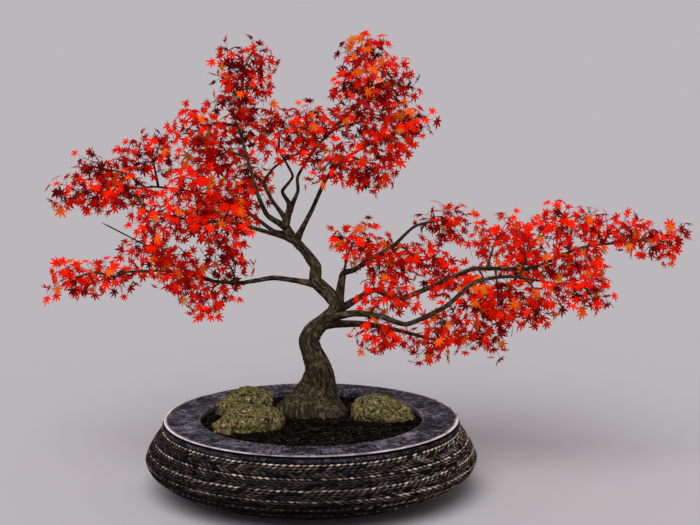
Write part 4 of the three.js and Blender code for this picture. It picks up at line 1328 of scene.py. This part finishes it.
def root_places():
    """Places along the limbs, each with its limb's direction, for the sprays' stems to grow from."""
    points = []
    ahead = []
    shares = np.linspace(FIRST_ROOT, LAST_ROOT, ROOT_PLACES_PER_LIMB)
    picks = (shares * (ROOT_STATIONS - 1)).astype(int)
    for name, stations in LIMBS.items():
        if name not in LEAFLESS_LIMBS:
            line = smooth_curve(stations, ROOT_STATIONS)[:, :3]
            points.append(line[picks])
            ahead.append(unit(np.gradient(line, axis=0))[picks])
    return np.concatenate(points), np.concatenate(ahead)


def spray_form(size):
    """A spray's centre and its half sizes."""
    x, y, z, half_width, half_height, dark = size
    return np.array([x, y, z], float), np.array([half_width, half_width, half_height], float)


def spray_stems():
    """Each spray's stem: from a free place on a limb a little before it, up through its middle."""
    points, ahead = root_places()
    taken = []
    stems = {}
    for name, size in SPRAYS.items():
        centre, half = spray_form(size)
        distance = np.linalg.norm(points + STEM_LEAD * ahead - centre, axis=1)
        for root in taken:
            distance[np.linalg.norm(points - root, axis=1) <= ROOT_SPACING] = np.inf
        pick = int(np.argmin(distance))
        root = points[pick]
        taken.append(root)
        reach = centre - root
        onward = unit((reach + STEM_LEAD * ahead[pick]) * np.array([1, 1, 0]))
        tip = centre + onward * half[0] * STEM_TIP_REACH - STEM_TIP_DROP * UP
        bend = (root + centre) / 2 + STEM_BEND * np.linalg.norm(reach) * UP
        thick = STEM_RADIUS + STEM_RADIUS_BY_REACH * np.linalg.norm(reach)
        stems[name] = smooth_curve([
            [*root, thick + STEM_ROOT_SWELL],
            [*bend, thick],
            [*centre, thick * STEM_NARROWING],
            [*tip, STEM_TIP_RADIUS],
        ], STEM_STATIONS)
    return stems


def sphere_directions(count, random):
    """Directions spread evenly over a sphere, from a random start."""
    index = np.arange(count) + 0.5
    z = 1 - 2 * index / count
    turn = index * GOLDEN_TURN + random.uniform(0, ALL_ROUND)
    flat = np.sqrt(1 - z ** 2)
    spread = np.stack([flat * np.cos(turn), flat * np.sin(turn), z], 1)
    return unit(spread + DIRECTION_JITTER * random.normal(size=(count, 3)))


def spray_twigs(stem, size, count, random):
    """Curved twigs from a spray's stem out towards its outer surface."""
    centre, half = spray_form(size)
    heading = unit(stem[-1, :3] - stem[STEM_HEADING_FROM, :3])
    t = np.linspace(0, 1, TWIG_STATIONS)[:, None]
    radii = np.linspace(*TWIG_RADII, TWIG_STATIONS)[:, None]
    twigs = []
    for direction in sphere_directions(count, random):
        end = centre + direction * half * random.uniform(*TWIG_REACHES)
        share = TWIG_START + TWIG_START_SPREAD * np.dot(direction, heading)
        share += random.uniform(-TWIG_START_JITTER, TWIG_START_JITTER)
        share = np.clip(share, *TWIG_START_LIMITS)
        start = stem[int(share * (len(stem) - 1)), :3]
        aside = TWIG_BEND_UP * UP + TWIG_BEND_ONWARD * heading
        aside = aside + TWIG_BEND_JITTER * random.normal(size=3)
        bend = (start + end) / 2 + np.linalg.norm(end - start) * aside
        line = (1 - t) ** 2 * start + 2 * t * (1 - t) * bend + t ** 2 * end
        twigs.append(np.hstack([line, radii]))
    return twigs


def leaf_template():
    """A flat seven-lobed leaf of radius 1: points, triangles, each point's lobe and nearness to a rib."""
    points = [[0.0, 0.0, 0.0]]
    rib = [1.0]
    lobe_of = [MIDDLE_LOBE]
    triangles = []

    def put(degrees, radius, aside, height, lobe, nearness):
        x, y = turned_flat(radius, aside, math.radians(degrees))
        points.append([x, y, height])
        rib.append(nearness)
        lobe_of.append(lobe)
        return len(points) - 1

    notches = []
    for index, (degrees, radius) in enumerate(NOTCHES):
        notches.append(put(degrees, radius, 0, NOTCH_RISE, min(index, len(LOBES) - 1), NOTCH_RIB))
    for lobe, (degrees, length) in enumerate(LOBES):
        low, high, tip = (put(degrees, share * length, 0, 0, lobe, near) for share, near in RIB_POINTS)
        for side, notch in ((-1, notches[lobe]), (1, notches[lobe + 1])):
            broad, narrow = (
                put(degrees, share * length, side * half * length, rise, lobe, 0.0)
                for share, half, rise in EDGE_POINTS
            )
            fan = [[0, notch, low], [notch, broad, low], [broad, high, low], [broad, narrow, high]]
            fan.append([narrow, tip, high])
            triangles += [[a, b, c] if side < 0 else [a, c, b] for a, b, c in fan]
    return np.array(points), np.array(triangles), np.array(lobe_of), np.array(rib)


def leaf_places(twigs, random):
    """Leaf stalks in opposite pairs along the twigs: the foot and the hub of each leaf."""
    feet = []
    stalks = []
    for twig in twigs:
        line = twig[:, :3]
        for node, share in enumerate(LEAF_NODES):
            place = share * (len(line) - 1)
            step = int(place)
            foot = line[step] + (line[step + 1] - line[step]) * (place - step)
            ahead = unit(line[step + 1] - line[step])
            side = unit(np.cross(ahead, UP + NODE_JITTER * random.normal(size=3)))
            if node % 2:
                side = unit(np.cross(ahead, side))
            for way in (-1, 1):
                if random.uniform() < LEAF_MISSING:
                    continue
                jitter = STALK_JITTER * random.normal(size=3)
                feet.append(foot)
                stalks.append(unit(STALK_AHEAD * ahead + way * STALK_ASIDE * side + jitter))
        feet.append(line[-1])
        stalks.append(unit(line[-1] - line[-2] + TIP_STALK_JITTER * random.normal(size=3)))
    feet = np.array(feet)
    lengths = random.uniform(*STALK_LENGTHS, (len(feet), 1))
    return feet, feet + np.array(stalks) * lengths


def spread_apart(hubs):
    """Moves the leaves' hubs that crowd each other apart, a little at a time."""
    start = hubs
    for turn in range(SPREAD_ROUNDS):
        tree = kdtree.KDTree(len(hubs))
        for index, hub in enumerate(hubs):
            tree.insert(hub, index)
        tree.balance()
        pairs = [
            (index, near)
            for index, hub in enumerate(hubs)
            for place, near, distance in tree.find_range(hub, HUB_SPACING)
            if near != index
        ]
        own, near = np.array(pairs).T
        apart = hubs[own] - hubs[near]
        distance = np.linalg.norm(apart, axis=1, keepdims=True)
        shift = np.zeros_like(hubs)
        np.add.at(shift, own, HUB_PUSH * apart / np.maximum(distance, 0.1) * (HUB_SPACING - distance))
        moved = hubs + shift - start
        far = np.linalg.norm(moved, axis=1, keepdims=True)
        hubs = start + moved * np.minimum(1, FARTHEST_SHIFT / np.maximum(far, 0.001))
    return hubs


def leaf_colours(depth, dark, random):
    """A colour for each leaf: darker more often in the darker sprays, and painted darker inside the spray
    and lighter at its outside, as painted shade and light.
    """
    table = np.array(list(LEAF_COLOURS.values()))
    darkness_and_painted_shade = np.clip(dark + PAINTED_LIGHT_BY_DEPTH * (PAINTED_SHADE_ZERO_DEPTH - depth), *DARKNESS_AND_PAINTED_SHADE_LIMITS)[:, None]
    shares = darkness_and_painted_shade * DARK_SHARES + (1 - darkness_and_painted_shade) * BRIGHT_SHARES
    steps = np.cumsum(shares / shares.sum(1, keepdims=True), 1)
    picks = (random.uniform(size=(len(depth), 1)) > steps).sum(1)
    return table[np.minimum(picks, len(table) - 1)] * random.uniform(*LEAF_TONES, (len(depth), 1))


def make_spray(name, size, feet, hubs, random, template, material):
    """One spray's leaves and their stalks, facing outward, up and to the light."""
    centre, half = spray_form(size)
    outward = unit((hubs - centre) / half)
    to_outside, to_sky, to_front, to_chance = LEAF_FACING
    facing = to_outside * outward + to_sky * UP + to_front * FRONT
    normals = unit(facing + to_chance * random.normal(size=hubs.shape))
    middles = unit(hubs - feet) - LEAF_HANG * UP
    middles = unit(middles - normals * np.sum(middles * normals, 1, keepdims=True))
    depth = np.linalg.norm((hubs - centre) / half, axis=1)
    shape, triangles, lobe_of, rib = template
    count = len(hubs)
    sizes = LEAF_RADIUS * random.uniform(*LEAF_SIZES, (count, 1, 1))
    stretch = 1 + LOBE_UNEVENNESS * random.normal(size=(count, len(LOBES)))[:, lobe_of][..., None]
    droop = random.uniform(*LEAF_DROOPS, (count, 1))
    cup = random.uniform(*LEAF_CUPS, (count, 1))
    local = np.repeat(shape[None], count, 0) * stretch
    local[..., 2] += -droop * np.sum(local[..., :2] ** 2, -1) + cup * local[..., 1] ** 2
    sides = np.cross(normals, middles)
    axes = np.stack([middles, sides, normals], 1)
    blades = hubs[:, None] + sizes * np.einsum("nvi,nij->nvj", local, axes)
    points = np.concatenate([blades.reshape(-1, 3), leaf_stalks(feet, hubs, normals, sides)])
    faces = [
        repeated_faces(triangles, count, len(shape)),
        repeated_faces(STALK_FACES, count, STALK_POINTS, count * len(shape)),
    ]
    # The leaf colours carry painted shade deep in the spray and painted light at its outside
    colours = leaf_colours(depth, size[-1], random)
    golden = (HUB_SHARE * rib ** 2)[None, :, None] * random.uniform(*HUB_SHARES, (count, 1, 1))
    hub_colours = HUB_COLOUR * golden * np.max(colours, 1)[:, None, None]
    blade_colours = colours[:, None] * (1 - golden) + hub_colours
    stalk_colours = np.repeat(colours * STALK_SHADE, STALK_POINTS, 0)
    painted = np.ones((len(points), 4))
    painted[:, :3] = np.concatenate([blade_colours.reshape(-1, 3), stalk_colours])
    piece = make_piece("leaves_" + name, points, faces, material, smooth=False)
    paint(piece, "leaf_colour", painted, "FLOAT_COLOR", "color")
    finish_piece(piece, "leaves", "spray_" + name)


def leaf_stalks(feet, hubs, normals, sides):
    """Thin three-sided stalks from the twigs to the leaves' hubs."""
    angles = ring_angles(3)
    corners = np.stack([math.cos(angle) * normals + math.sin(angle) * sides for angle in angles], 1)
    rings = [end[:, None] + radius * corners for end, radius in zip((feet, hubs), STALK_RADII)]
    return np.concatenate(rings, 1).reshape(-1, 3)


def make_sprays():
    template = leaf_template()
    material = leaf_material()
    tubes = []
    stems = spray_stems()
    draws = {}
    places = {}
    for index, (name, size) in enumerate(SPRAYS.items()):
        draws[name] = np.random.default_rng(SPRAY_SEED + index)
        count = TWIGS_PER_THIN_SPRAY if name in THIN_SPRAYS else TWIGS_PER_SPRAY
        twigs = spray_twigs(stems[name], size, count, draws[name])
        tubes += [tube(line, TWIG_SIDES) for line in [stems[name]] + twigs]
        places[name] = leaf_places(twigs, draws[name])
    hubs = spread_apart(np.concatenate([hubs for feet, hubs in places.values()]))
    first = 0
    for name, size in SPRAYS.items():
        feet = places[name][0]
        own_hubs = hubs[first:first + len(feet)]
        make_spray(name, size, feet, own_hubs, draws[name], template, material)
        first += len(feet)
    finish_piece(join_tubes("fine_twigs", tubes, twig_material()), "bark")


# Setting

def dress_screens():
    material = screen_material()
    for name in ("drain_screen_left", "drain_screen_right"):
        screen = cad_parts[name].data
        screen.materials.clear()
        screen.materials.append(material)


def make_camera():
    data = bpy.data.cameras.new("camera")
    data.lens = CAMERA_LENS
    data.clip_end = CAMERA_SIGHT
    camera = add_object("camera", data)
    camera.location = CAMERA_PLACE
    camera.rotation_euler = (CAMERA_PITCH, 0, 0)
    bpy.context.scene.camera = camera


def make_light():
    world = bpy.data.worlds.new("studio")
    world.use_nodes = True
    background = world.node_tree.nodes["Background"]
    background.inputs["Color"].default_value = (*BACKDROP, 1)
    background.inputs["Strength"].default_value = 1.0
    bpy.context.scene.world = world
    data = bpy.data.lights.new("key", "SUN")
    data.energy = SUN_ON_FLOOR * math.pi / math.cos(SUN_TILT)
    data.angle = SUN_SOFTNESS
    sun = add_object("key", data)
    sun.rotation_euler = (SUN_TILT, 0, SUN_TURN)
    bpy.context.scene.view_settings.view_transform = "Standard"


def make_floor():
    corners = [[-1, -1, 0], [1, -1, 0], [1, 1, 0], [-1, 1, 0]]
    points = FLOOR_REACH * np.array(corners)
    floor = make_piece("floor", points, [np.array([[0, 1, 2, 3]])], floor_material())
    floor.location.z = -FLOOR_SINK


make_camera()
make_light()
make_floor()
make_pot_body()
make_pot_cords()
dress_screens()
make_soil()
make_granules()
make_fibres()
for rock_name, rock_size in ROCKS.items():
    make_rock(rock_name, rock_size)
make_wood()
make_sprays()
